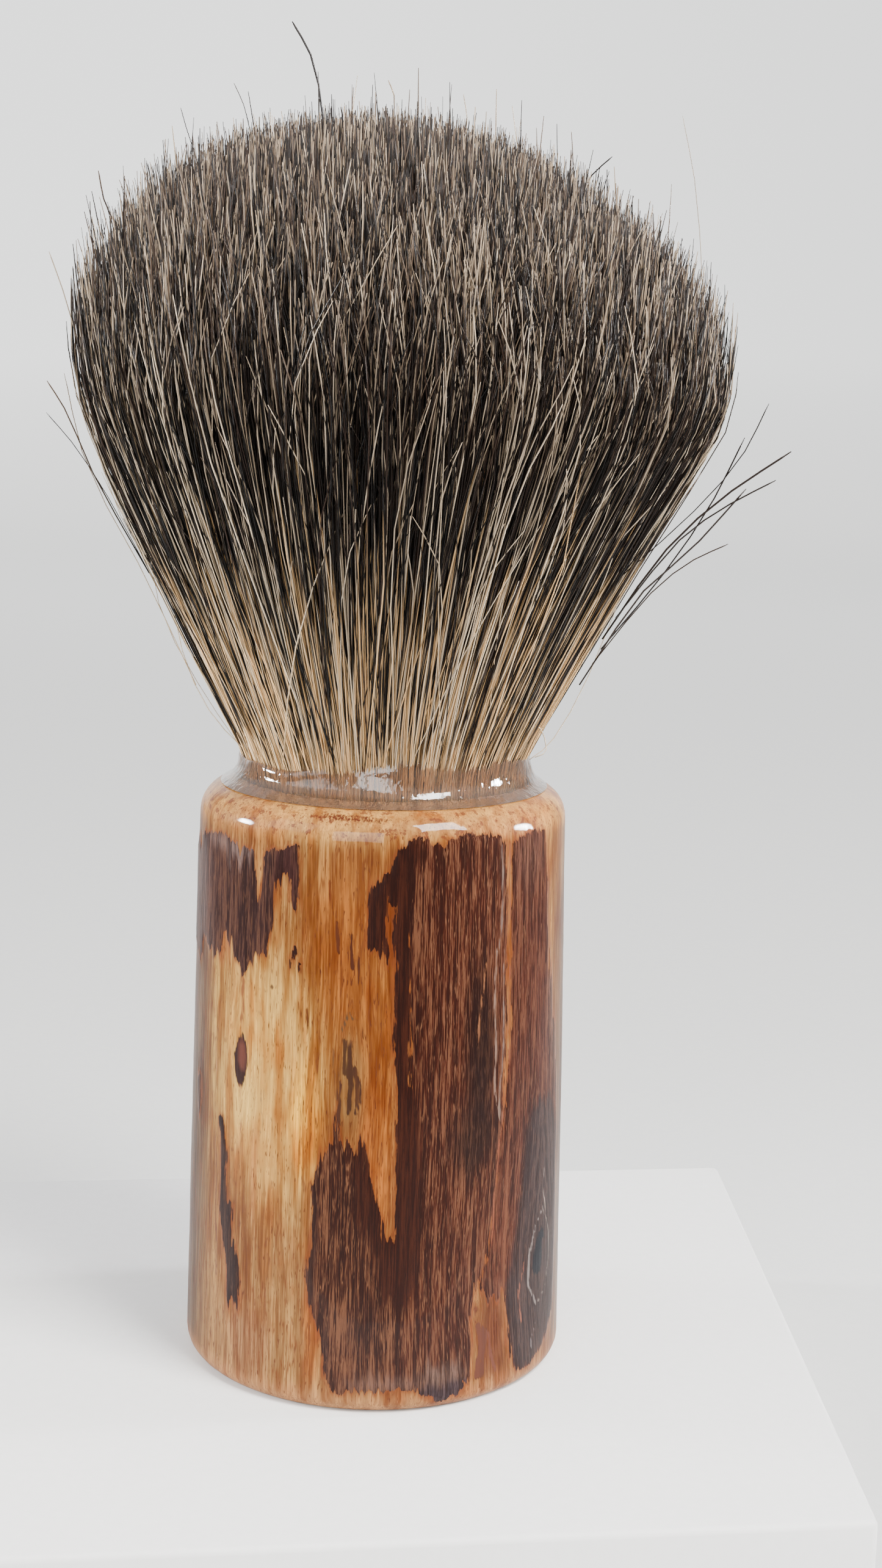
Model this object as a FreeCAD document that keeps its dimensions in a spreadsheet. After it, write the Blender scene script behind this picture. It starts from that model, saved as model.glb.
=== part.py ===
"""A shaving brush: a glued-in badger-hair knot in a round handle of lacquered branch wood.

Row frame: +Z up, millimetres, origin at the centre of the handle's flat foot. Everything is turned
about Z. The knot (hair, its binding thread and its potting plug) stands in a flat-bottomed socket
on a bed of adhesive, and a poured ring of clear resin seals its mouth.
"""

import FreeCAD
import Part
import Sketcher
import math
import os

FULL_TURN = 360.0
MIN_SOLID_MM3 = 1.0

# alias, millimetres (or a plain number), what it is
SIZES = [
    ("handle_height", 54.6, "wood, foot to top face"),
    ("handle_top_dia", 34.0, "wood, just below the shoulder"),
    ("handle_base_dia", 36.0, "wood, at the foot, if the foot were sharp"),
    ("shoulder_radius", 2.8, "rounding of the wood's top edge"),
    ("foot_radius", 1.5, "rounding of the wood's bottom edge"),
    ("pilot_dia", 2.4, "mark that the boring bit's point leaves"),
    ("pilot_depth", 1.2, "depth of that mark below the socket's floor"),
    ("bond_gap", 0.4, "adhesive between plug and socket wall, radially"),
    ("bond_floor", 0.5, "adhesive under the plug"),
    ("root_dia", 24.0, "hair bundle where it is potted"),
    ("plug_wall", 1.2, "potting resin round the hair roots"),
    ("plug_floor", 2.0, "potting resin under the hair roots"),
    ("plug_height", 14.1, "potting plug, floor to rim"),
    ("plug_stand", 2.6, "how far the plug stands out of the wood"),
    ("flare_depth", 2.1, "how far below the plug's rim the hair starts to spread"),
    ("bulb_dia", 57.4, "hair bundle at its widest"),
    ("bulb_height", 34.8, "widest circle above the plug's rim"),
    ("crown_rise", 22.4, "crown of the hair above its widest circle"),
    ("bulb_edge_radius", 15.0, "rounding of the hair between its cone and its crown"),
    ("thread_dia", 0.6, "waxed thread that ties the roots"),
    ("thread_turns", 5, "turns of that thread"),
    ("thread_gap", 0.12, "space between neighbouring turns"),
    ("thread_start", 2.0, "lowest turn above the plug's floor"),
    ("thread_clearance", 0.04, "room round the thread in its channel"),
    ("seal_thickness", 0.6, "clear resin on the wood's top face"),
    ("seal_drop", 1.5, "how far the resin runs down over the shoulder"),
    ("seal_climb_radius", 1.6, "hollow curve where the resin climbs the plug"),
]

# Radii and heights that follow from those sizes, as expressions of the sheet.
TOP = "sizes.handle_height"
RIM_RADIUS = "sizes.handle_top_dia / 2"
ROOT_RADIUS = "sizes.root_dia / 2"
PLUG_RADIUS = f"({ROOT_RADIUS} + sizes.plug_wall)"
PLUG_RIM = f"({TOP} + sizes.plug_stand)"
PLUG_BOTTOM = f"({PLUG_RIM} - sizes.plug_height)"
ROOT_END = f"({PLUG_BOTTOM} + sizes.plug_floor)"
SOCKET_RADIUS = f"({PLUG_RADIUS} + sizes.bond_gap)"
SOCKET_FLOOR = f"({PLUG_BOTTOM} - sizes.bond_floor)"

# The shoulder is rounded as asked, or as far as the land round the socket allows.
SHOULDER = f"min(sizes.shoulder_radius; 0.95 * ({RIM_RADIUS} - {SOCKET_RADIUS}))"
SHOULDER_X = f"({RIM_RADIUS} - {SHOULDER})"
SHOULDER_Y = f"({TOP} - {SHOULDER})"

# The resin is as thick as asked on top and thins to nothing at the side of the shoulder.
SEAL_RADIUS = f"({SHOULDER} + sizes.seal_thickness)"
SEAL_X = f"({RIM_RADIUS} - {SEAL_RADIUS})"
SEAL_LIP = f"({TOP} - min(sizes.seal_drop; 0.8 * {SHOULDER}))"
# Its climbing curve stays on the part of the plug that stands out of the wood.
CLIMB_RADIUS = "min(sizes.seal_climb_radius; 0.8 * (sizes.plug_stand - sizes.seal_thickness))"
CLIMB_X = f"({PLUG_RADIUS} + {CLIMB_RADIUS})"

FLARE_START = f"({PLUG_RIM} - sizes.flare_depth)"
EDGE_X = "(sizes.bulb_dia / 2 - sizes.bulb_edge_radius)"
EDGE_Y = f"({PLUG_RIM} + sizes.bulb_height)"
CROWN = f"({EDGE_Y} + sizes.crown_rise)"

THREAD_ROOM = "(sizes.thread_dia / 2 + sizes.thread_clearance)"
THREAD_X = f"({ROOT_RADIUS} + {THREAD_ROOM})"
THREAD_Y = f"({ROOT_END} + sizes.thread_start)"
THREAD_PITCH = "(sizes.thread_dia + sizes.thread_gap)"


def make_sheet(doc):
    """The spreadsheet of driving dimensions, one aliased cell each."""
    sheet = doc.addObject("Spreadsheet::Sheet", "sizes")
    for row, (alias, value, words) in enumerate(SIZES, start=1):
        sheet.set(f"A{row}", alias)
        sheet.set(f"B{row}", str(value))
        sheet.set(f"C{row}", words)
        sheet.setAlias(f"B{row}", alias)
    doc.recompute()


def number(expression):
    """What an expression of the sheet comes to now. None stands for zero."""
    if expression is None:
        return 0.0
    sheet = FreeCAD.ActiveDocument.getObject("sizes")
    return float(sheet.evalExpression(expression))


def new_body(doc, name):
    body = doc.addObject("PartDesign::Body", name)
    body.Label = name
    return body


def new_profile(body, name):
    """A sketch on the body's XZ plane, where sketch x is the radius and sketch y is the height."""
    sketch = body.newObject("Sketcher::SketchObject", name)
    plane = next(f for f in body.Origin.OriginFeatures if f.Role == "XZ_Plane")
    sketch.AttachmentSupport = [(plane, "")]
    sketch.MapMode = "FlatFace"
    return sketch


def line(sketch, start, end):
    """A straight edge between two (radius, height) points, which constraints then tie down."""
    a, b = (FreeCAD.Vector(*point, 0) for point in (start, end))
    return sketch.addGeometry(Part.LineSegment(a, b), False)


def arc(sketch, centre, radius, from_deg, to_deg):
    """A round edge, anticlockwise from one angle to the other."""
    circle = Part.Circle(FreeCAD.Vector(*centre, 0), FreeCAD.Vector(0, 0, 1), radius)
    turn = (math.radians(from_deg), math.radians(to_deg))
    return sketch.addGeometry(Part.ArcOfCircle(circle, *turn), False)


def bind(sketch, kind, what, expression):
    """Adds a dimension to the sketch and ties it to an expression of the sheet."""
    index = sketch.addConstraint(Sketcher.Constraint(kind, *what, number(expression)))
    sketch.setExpression(f"Constraints[{index}]", expression)


def place_point(sketch, edge, end, x, y):
    """Ties one end of an edge, or a centre (3), to expressions for its radius and height.

    None puts it on the axis, as a radius, or on the plane of the foot, as a height.
    """
    for expression, kind, rail in ((x, "DistanceX", -2), (y, "DistanceY", -1)):
        if expression is None:
            sketch.addConstraint(Sketcher.Constraint("PointOnObject", edge, end, rail))
        else:
            bind(sketch, kind, (-1, 1, edge, end), expression)


def join(sketch, kind, first, first_end, second, second_end):
    """Makes two ends meet: kind is Coincident, or Tangent for a smooth meeting."""
    ends = (first, first_end, second, second_end)
    sketch.addConstraint(Sketcher.Constraint(kind, *ends))


def polygon(sketch, corners):
    """A closed outline of straight edges through (radius, height) expressions."""
    points = [(number(x), number(y)) for x, y in corners]
    edges = [line(sketch, a, b) for a, b in zip(points, points[1:] + points[:1])]
    for edge, after in zip(edges, edges[1:] + edges[:1]):
        join(sketch, "Coincident", edge, 2, after, 1)
    for edge, (x, y) in zip(edges, corners):
        place_point(sketch, edge, 1, x, y)


def revolve(body, sketch, name, kind="PartDesign::Revolution"):
    """A full turn of the profile about the body's Z axis."""
    feature = body.newObject(kind, name)
    feature.Profile = sketch
    feature.ReferenceAxis = (sketch, ["V_Axis"])
    feature.Angle = FULL_TURN
    sketch.Visibility = False
    return feature


def make_handle(doc):
    """The wood: a slightly tapered round billet, rounded at both ends, bored from the top."""
    body = new_body(doc, "handle")
    sketch = new_profile(body, "handle_profile")
    top, rim, base = number(TOP), number(RIM_RADIUS), number("sizes.handle_base_dia / 2")
    centre = (number(SHOULDER_X), number(SHOULDER_Y))
    foot = line(sketch, (0, 0), (base, 0))
    side = line(sketch, (base, 0), (rim, centre[1]))
    shoulder = arc(sketch, centre, number(SHOULDER), 0, 90)
    face = line(sketch, (centre[0], top), (0, top))
    axis = line(sketch, (0, top), (0, 0))
    join(sketch, "Coincident", foot, 2, side, 1)
    join(sketch, "Tangent", side, 2, shoulder, 1)
    join(sketch, "Tangent", shoulder, 2, face, 1)
    join(sketch, "Coincident", face, 2, axis, 1)
    join(sketch, "Coincident", axis, 2, foot, 1)
    place_point(sketch, foot, 1, None, None)
    place_point(sketch, foot, 2, "sizes.handle_base_dia / 2", None)
    place_point(sketch, face, 2, None, TOP)
    bind(sketch, "Radius", (shoulder,), SHOULDER)
    bind(sketch, "DistanceX", (-1, 1, shoulder, 3), SHOULDER_X)
    sketch.addConstraint(Sketcher.Constraint("Horizontal", face))
    billet = revolve(body, sketch, "billet")
    doc.recompute()

    rounded = body.newObject("PartDesign::Fillet", "rounded_foot")
    rounded.Base = (billet, [foot_edge(billet.Shape, base)])
    rounded.setExpression("Radius", "sizes.foot_radius")
    doc.recompute()
    solid_volume = rounded.Shape.Volume

    bore = new_profile(body, "socket_profile")
    polygon(bore, socket_corners() + [(None, TOP)])
    revolve(body, bore, "socket", "PartDesign::Groove")
    doc.recompute()
    if body.Shape.Volume >= solid_volume:
        raise RuntimeError("the socket cut nothing from the handle")
    return body


def foot_edge(shape, radius):
    """The name of the round edge at height 0 with this radius."""
    for index, edge in enumerate(shape.Edges, start=1):
        curve = edge.Curve
        round_edge = isinstance(curve, Part.Circle) and abs(curve.Radius - radius) < 1e-6
        if round_edge and abs(curve.Center.z) < 1e-6:
            return f"Edge{index}"
    raise RuntimeError("the handle has no sharp foot edge to round")


def socket_corners():
    """The socket's wall, floor and pilot mark, from its mouth down to the axis."""
    return [
        (SOCKET_RADIUS, TOP),
        (SOCKET_RADIUS, SOCKET_FLOOR),
        ("sizes.pilot_dia / 2", SOCKET_FLOOR),
        (None, f"({SOCKET_FLOOR} - sizes.pilot_depth)"),
    ]


def make_adhesive(doc):
    """The cured bed under and round the plug, which also fills the pilot mark."""
    body = new_body(doc, "socket_adhesive")
    sketch = new_profile(body, "bed_profile")
    seated_plug = [(None, PLUG_BOTTOM), (PLUG_RADIUS, PLUG_BOTTOM), (PLUG_RADIUS, TOP)]
    polygon(sketch, socket_corners() + seated_plug)
    revolve(body, sketch, "bed")
    return body


def make_hair(doc):
    """The hair bundle: a potted cylinder of roots, a spreading cone and a rounded crown."""
    body = new_body(doc, "hair_bundle")
    sketch = new_profile(body, "hair_profile")
    root, end, flare, crown = map(number, (ROOT_RADIUS, ROOT_END, FLARE_START, CROWN))
    edge_x, edge_y, edge = map(number, (EDGE_X, EDGE_Y, "sizes.bulb_edge_radius"))
    # The crown's arc is centred on the axis and touches the edge's arc from outside.
    rise = crown - edge_y
    dome = (edge_x**2 + rise**2 - edge**2) / (2 * (rise - edge))
    tilt = math.degrees(math.atan2(edge_y - (crown - dome), edge_x))
    # The cone runs from the flare's start along the tangent to the edge's arc.
    away = math.hypot(edge_x - root, edge_y - flare)
    slope = math.atan2(edge_x - root, edge_y - flare) + math.asin(edge / away)
    touch = (edge_x + edge * math.cos(slope), edge_y - edge * math.sin(slope))

    bottom = line(sketch, (0, end), (root, end))
    roots = line(sketch, (root, end), (root, flare))
    cone = line(sketch, (root, flare), touch)
    side = arc(sketch, (edge_x, edge_y), edge, -math.degrees(slope), tilt)
    top = arc(sketch, (0, crown - dome), dome, tilt, 90)
    axis = line(sketch, (0, crown), (0, end))
    join(sketch, "Coincident", bottom, 2, roots, 1)
    join(sketch, "Coincident", roots, 2, cone, 1)
    join(sketch, "Tangent", cone, 2, side, 1)
    join(sketch, "Tangent", side, 2, top, 1)
    join(sketch, "Coincident", top, 2, axis, 1)
    join(sketch, "Coincident", axis, 2, bottom, 1)
    place_point(sketch, bottom, 1, None, ROOT_END)
    place_point(sketch, roots, 1, ROOT_RADIUS, ROOT_END)
    place_point(sketch, roots, 2, ROOT_RADIUS, FLARE_START)
    place_point(sketch, side, 3, EDGE_X, EDGE_Y)
    bind(sketch, "Radius", (side,), "sizes.bulb_edge_radius")
    place_point(sketch, axis, 1, None, CROWN)
    sketch.addConstraint(Sketcher.Constraint("PointOnObject", top, 3, -2))
    revolve(body, sketch, "hair_mass")
    return body


def make_binding(doc):
    """The thread that ties the roots, wound as one helix."""
    body = new_body(doc, "root_binding")
    sketch = new_profile(body, "thread_section")
    centre = FreeCAD.Vector(number(THREAD_X), number(THREAD_Y), 0)
    section = Part.Circle(centre, FreeCAD.Vector(0, 0, 1), number("sizes.thread_dia / 2"))
    circle = sketch.addGeometry(section, False)
    place_point(sketch, circle, 3, THREAD_X, THREAD_Y)
    bind(sketch, "Radius", (circle,), "sizes.thread_dia / 2")
    doc.recompute()
    winding = body.newObject("PartDesign::AdditiveHelix", "winding")
    winding.Profile = sketch
    winding.ReferenceAxis = (sketch, ["V_Axis"])
    winding.Mode = "pitch-turns-angle"
    winding.Angle = 0
    winding.setExpression("Pitch", THREAD_PITCH)
    winding.setExpression("Turns", "sizes.thread_turns")
    sketch.Visibility = False
    return body


def make_plug(doc, hair):
    """The potting resin: a round block less the hair roots and the thread's channel."""
    block = doc.addObject("Part::Cylinder", "plug_block")
    block.setExpression("Radius", PLUG_RADIUS)
    block.setExpression("Height", "sizes.plug_height")
    block.setExpression("Placement.Base.z", PLUG_BOTTOM)

    channel = doc.addObject("Part::Cylinder", "thread_channel")
    channel.setExpression("Radius", f"{THREAD_X} + {THREAD_ROOM}")
    channel.setExpression("Height", f"sizes.thread_turns * {THREAD_PITCH} + 2 * {THREAD_ROOM}")
    channel.setExpression("Placement.Base.z", f"{THREAD_Y} - {THREAD_ROOM}")

    potted_room = doc.addObject("Part::Fuse", "potted_room")
    potted_room.Base, potted_room.Tool = hair, channel
    plug = doc.addObject("Part::Cut", "knot_plug")
    plug.Base, plug.Tool = block, potted_room
    plug.Label = "knot_plug"
    return plug


def make_seal(doc):
    """The poured clear ring on the wood's top face.

    It runs a little way down over the shoulder, thinning out, and climbs the plug.
    """
    body = new_body(doc, "resin_seal")
    sketch = new_profile(body, "seal_profile")
    top, plug, lip = number(TOP), number(PLUG_RADIUS), number(SEAL_LIP)
    wood_x, centre_y, wood = number(SHOULDER_X), number(SHOULDER_Y), number(SHOULDER)
    skin_x, skin = number(SEAL_X), number(SEAL_RADIUS)
    climb_x, climb = number(CLIMB_X), number(CLIMB_RADIUS)
    wood_turn = math.asin((lip - centre_y) / wood)
    skin_turn = math.asin((lip - centre_y) / skin)
    climb_y = centre_y + math.sqrt((skin + climb) ** 2 - (climb_x - skin_x) ** 2)
    meet = math.degrees(math.atan2(climb_y - centre_y, climb_x - skin_x))

    face = line(sketch, (plug, top), (wood_x, top))
    shoulder = arc(sketch, (wood_x, centre_y), wood, math.degrees(wood_turn), 90)
    lip_start = (wood_x + wood * math.cos(wood_turn), lip)
    edge = line(sketch, lip_start, (skin_x + skin * math.cos(skin_turn), lip))
    outside = arc(sketch, (skin_x, centre_y), skin, math.degrees(skin_turn), meet)
    hollow = arc(sketch, (climb_x, climb_y), climb, 180, 180 + meet)
    wall = line(sketch, (plug, climb_y), (plug, top))
    join(sketch, "Tangent", face, 2, shoulder, 2)
    join(sketch, "Coincident", shoulder, 1, edge, 1)
    join(sketch, "Coincident", edge, 2, outside, 1)
    join(sketch, "Tangent", outside, 2, hollow, 2)
    join(sketch, "Tangent", wall, 1, hollow, 1)
    join(sketch, "Coincident", wall, 2, face, 1)
    place_point(sketch, face, 1, PLUG_RADIUS, TOP)
    place_point(sketch, shoulder, 3, SHOULDER_X, SHOULDER_Y)
    bind(sketch, "Radius", (shoulder,), SHOULDER)
    bind(sketch, "DistanceY", (-1, 1, edge, 1), SEAL_LIP)
    sketch.addConstraint(Sketcher.Constraint("Horizontal", edge))
    place_point(sketch, outside, 3, SEAL_X, SHOULDER_Y)
    bind(sketch, "Radius", (outside,), SEAL_RADIUS)
    bind(sketch, "Radius", (hollow,), CLIMB_RADIUS)
    bind(sketch, "DistanceX", (-1, 1, hollow, 3), CLIMB_X)
    revolve(body, sketch, "seal")
    return body


def check(doc, pieces):
    """Stops the script if an object failed to recompute or a piece isn't one sound solid."""
    failed = [o.Name for o in doc.Objects if "Invalid" in o.State or "Error" in o.State]
    if failed:
        raise RuntimeError(f"these objects failed to recompute: {failed}")
    for piece in pieces:
        shape = piece.Shape
        sound = not shape.isNull() and shape.isValid() and len(shape.Solids) == 1
        if not sound or shape.Volume < MIN_SOLID_MM3:
            raise RuntimeError(f"{piece.Label} is not one sound solid")


def main():
    doc = FreeCAD.newDocument("shaving_brush")
    make_sheet(doc)
    hair = make_hair(doc)
    doc.recompute()
    pieces = [
        make_handle(doc),
        make_adhesive(doc),
        make_plug(doc, hair),
        make_binding(doc),
        hair,
        make_seal(doc),
    ]
    doc.recompute()
    check(doc, pieces)
    os.makedirs("parts", exist_ok=True)
    for piece in pieces:
        shape = piece.Shape
        shape.exportStep(f"parts/{piece.Label}.step")
        box = shape.optimalBoundingBox()
        reach = f"radius {box.XMax:.2f}, height {box.ZMin:.2f} to {box.ZMax:.2f}"
        print(f"{piece.Label}: {shape.Volume:.1f} mm3, {reach}")


main()
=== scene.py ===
"""Shaving brush: a lacquered branch-wood handle, a poured clear collar and a badger-hair knot."""

import math

import bmesh
import bpy
import numpy as np
from mathutils import Matrix, Vector, noise


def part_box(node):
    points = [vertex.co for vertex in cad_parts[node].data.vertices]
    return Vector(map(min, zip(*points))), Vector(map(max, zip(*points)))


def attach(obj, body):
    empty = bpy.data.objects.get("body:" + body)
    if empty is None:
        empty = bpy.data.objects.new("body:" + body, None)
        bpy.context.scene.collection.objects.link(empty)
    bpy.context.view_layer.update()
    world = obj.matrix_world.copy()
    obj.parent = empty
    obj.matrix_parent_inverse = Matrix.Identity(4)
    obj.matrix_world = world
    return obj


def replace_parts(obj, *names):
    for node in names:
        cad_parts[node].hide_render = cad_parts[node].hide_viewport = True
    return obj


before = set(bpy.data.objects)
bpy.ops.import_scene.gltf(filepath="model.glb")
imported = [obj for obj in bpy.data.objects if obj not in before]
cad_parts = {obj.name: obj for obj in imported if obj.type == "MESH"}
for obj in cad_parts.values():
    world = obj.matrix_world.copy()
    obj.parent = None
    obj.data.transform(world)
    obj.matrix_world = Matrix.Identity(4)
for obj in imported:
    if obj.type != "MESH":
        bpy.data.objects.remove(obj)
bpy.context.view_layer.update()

MM = 0.001

# The turned shapes come from the CAD pieces that they follow.
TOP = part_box("handle")[1].z
BASE_RADIUS = 18.0 * MM
RIM_RADIUS = 17.0 * MM
SHOULDER = 2.8 * MM
FOOT_ROUNDING = 1.5 * MM
PLUG_RADIUS, PLUG_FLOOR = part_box("knot_plug")[1].x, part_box("knot_plug")[0].z
SOCKET_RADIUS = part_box("socket_adhesive")[1].x
SOCKET_FLOOR = PLUG_FLOOR - 0.5 * MM


# ---------------------------------------------------------------- camera, room and light


def place_camera():
    """A camera about twenty centimetres off, looking slightly down, held a little out of level."""
    data = bpy.data.cameras.new("camera")
    data.lens, data.sensor_width = 49.93, 36.0
    camera = bpy.data.objects.new("camera", data)
    bpy.context.scene.collection.objects.link(camera)
    turn, down, roll = 0.0365, 0.1708, 0.0264
    look = Vector((math.sin(turn) * math.cos(down), math.cos(turn) * math.cos(down), -math.sin(down)))
    level = look.cross(Vector((0, 0, 1))).normalized()
    above = level.cross(look)
    right = level * math.cos(roll) + above * math.sin(roll)
    up = above * math.cos(roll) - level * math.sin(roll)
    camera.matrix_world = Matrix.Translation((-0.00199, -0.19993, 0.0888)) @ Matrix(
        (right, up, -look)
    ).transposed().to_4x4()
    bpy.context.scene.camera = camera


def soft_light(name, place, aim, size, watts, colour, spread=180):
    """A square studio panel; a small spread, in degrees, is a panel with a grid on it."""
    data = bpy.data.lights.new(name, "AREA")
    data.spread = math.radians(spread)
    data.size, data.energy, data.color = size, watts, colour
    light = bpy.data.objects.new(name, data)
    light.matrix_world = Matrix.Translation(place) @ (
        (Vector(aim) - Vector(place)).to_track_quat("-Z", "Y").to_matrix().to_4x4()
    )
    bpy.context.scene.collection.objects.link(light)


# ---------------------------------------------------------------- words for wiring materials


def rgb(red, green, blue):
    """A colour as it looks on a screen, 0 to 255, in the linear values that materials use."""
    screen = [channel / 255 for channel in (red, green, blue)]
    return [c / 12.92 if c < 0.04045 else ((c + 0.055) / 1.055) ** 2.4 for c in screen] + [1.0]


def paint(red, green, blue):
    """The base colour that looks like this screen colour in the room's strong light. It is about
    half as bright. Bright colours bleach in that light, so they are made more vivid."""
    lit = rgb(red, green, blue)[:3]
    mean = sum(lit) / 3
    gain = 0.5 * (1 + 2.8 * max(0, mean - 0.35))
    depth = 0.5 + 7 * max(0, mean - 0.2)
    return [max(0.0005, gain * c * (1 + depth * (c - mean))) for c in lit] + [1.0]


def wire(tree, kind, inputs=None, **settings):
    """Adds a node. An input is given a value, or another node's output to be linked to."""
    node = tree.nodes.new(kind)
    for name, value in settings.items():
        setattr(node, name, value)
    for name, value in (inputs or {}).items():
        if isinstance(value, bpy.types.NodeSocket):
            tree.links.new(value, node.inputs[name])
        else:
            node.inputs[name].default_value = value
    return node


def sums(tree, operation, first, second=0.0, clamp=False):
    inputs = {0: first, 1: second}
    return wire(tree, "ShaderNodeMath", inputs, operation=operation, use_clamp=clamp).outputs[0]


def ramped(tree, value, low, high, out_low=0.0, out_high=1.0):
    """A smooth step of a value from low to high."""
    inputs = {0: value, 1: low, 2: high, 3: out_low, 4: out_high}
    node = wire(tree, "ShaderNodeMapRange", inputs, interpolation_type="SMOOTHSTEP")
    return node.outputs[0]


def blended(tree, amount, under, over, how="MIX"):
    inputs = {0: amount, 6: under, 7: over}
    node = wire(tree, "ShaderNodeMix", inputs, data_type="RGBA", blend_type=how)
    return node.outputs[2]


def attribute(tree, name, output="Fac"):
    return wire(tree, "ShaderNodeAttribute", attribute_name=name).outputs[output]


def scaled(tree, vector, factors):
    inputs = {0: vector, 1: factors}
    return wire(tree, "ShaderNodeVectorMath", inputs, operation="MULTIPLY").outputs[0]


def object_place(tree):
    """Places on the piece in metres, for patterns that don't follow its surface."""
    return wire(tree, "ShaderNodeTexCoord").outputs["Object"]


def clouds(tree, vector, scale, detail=3.0, roughness=0.55):
    inputs = {"Vector": vector, "Scale": scale, "Detail": detail, "Roughness": roughness}
    return wire(tree, "ShaderNodeTexNoise", inputs).outputs[0]


def new_material(name, **settings):
    """A material with a Principled shader whose plain sockets are set by name."""
    material = bpy.data.materials.new(name)
    material.use_nodes = True
    tree = material.node_tree
    shader = next(node for node in tree.nodes if node.type == "BSDF_PRINCIPLED")
    for socket, value in settings.items():
        shader.inputs[socket.replace("_", " ").title().replace("Ior", "IOR")].default_value = value
    return material, tree, shader


def new_group(name, inputs, outputs):
    """A node group whose sockets are {name: default}; a tuple makes a vector, None a colour."""
    tree = bpy.data.node_groups.new(name, "ShaderNodeTree")
    for in_out, sockets in (("INPUT", inputs), ("OUTPUT", outputs)):
        for socket, default in sockets.items():
            kinds = {tuple: "NodeSocketVector", type(None): "NodeSocketColor"}
            kind = kinds.get(type(default), "NodeSocketFloat")
            made = tree.interface.new_socket(socket, in_out=in_out, socket_type=kind)
            if in_out == "INPUT" and default is not None:
                made.default_value = default
    return tree, tree.nodes.new("NodeGroupInput").outputs, tree.nodes.new("NodeGroupOutput").inputs


def use_group(tree, group, inputs):
    return wire(tree, "ShaderNodeGroup", inputs, node_tree=group).outputs


# ---------------------------------------------------------------- words for modelling


def start_mesh(primitive, name, **place):
    """Adds a primitive with nothing else selected, and puts its place in its mesh."""
    bpy.ops.object.select_all(action="DESELECT")
    primitive(**place)
    piece = bpy.context.active_object
    piece.name = piece.data.name = name
    bpy.ops.object.transform_apply(location=True, rotation=True, scale=True)
    return piece


def pick(piece, kind, wanted):
    """In edit mode, selects only the verts, edges or faces of which wanted(element) is true."""
    bpy.context.tool_settings.mesh_select_mode = [kind == k for k in ("verts", "edges", "faces")]
    shape = bmesh.from_edit_mesh(piece.data)
    for elements in (shape.verts, shape.edges, shape.faces):
        for element in elements:
            element.select = False
    for element in getattr(shape, kind):
        if wanted(element):
            element.select_set(True)
    shape.select_flush_mode()
    bmesh.update_edit_mesh(piece.data)


def at_height(element, height):
    return all(abs(vert.co.z - height) < 1e-6 for vert in element.verts)


def points_of(mesh):
    flat = np.empty(len(mesh.vertices) * 3, np.float32)
    mesh.vertices.foreach_get("co", flat)
    return flat.reshape(-1, 3).astype(float)


def store(mesh, name, kind, values, field):
    mesh.attributes.new(name, kind, "POINT").data.foreach_set(field, np.asarray(values, np.float32).ravel())


# ---------------------------------------------------------------- the wood's pattern

# Outlines are laid out on the unrolled handle as (degrees from the front, positive to the right;
# millimetres above the foot).

DARK, UMBER, RUSSET, SLATE = (48, 24, 18), (70, 34, 21), (84, 42, 30), (60, 48, 48)

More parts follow.
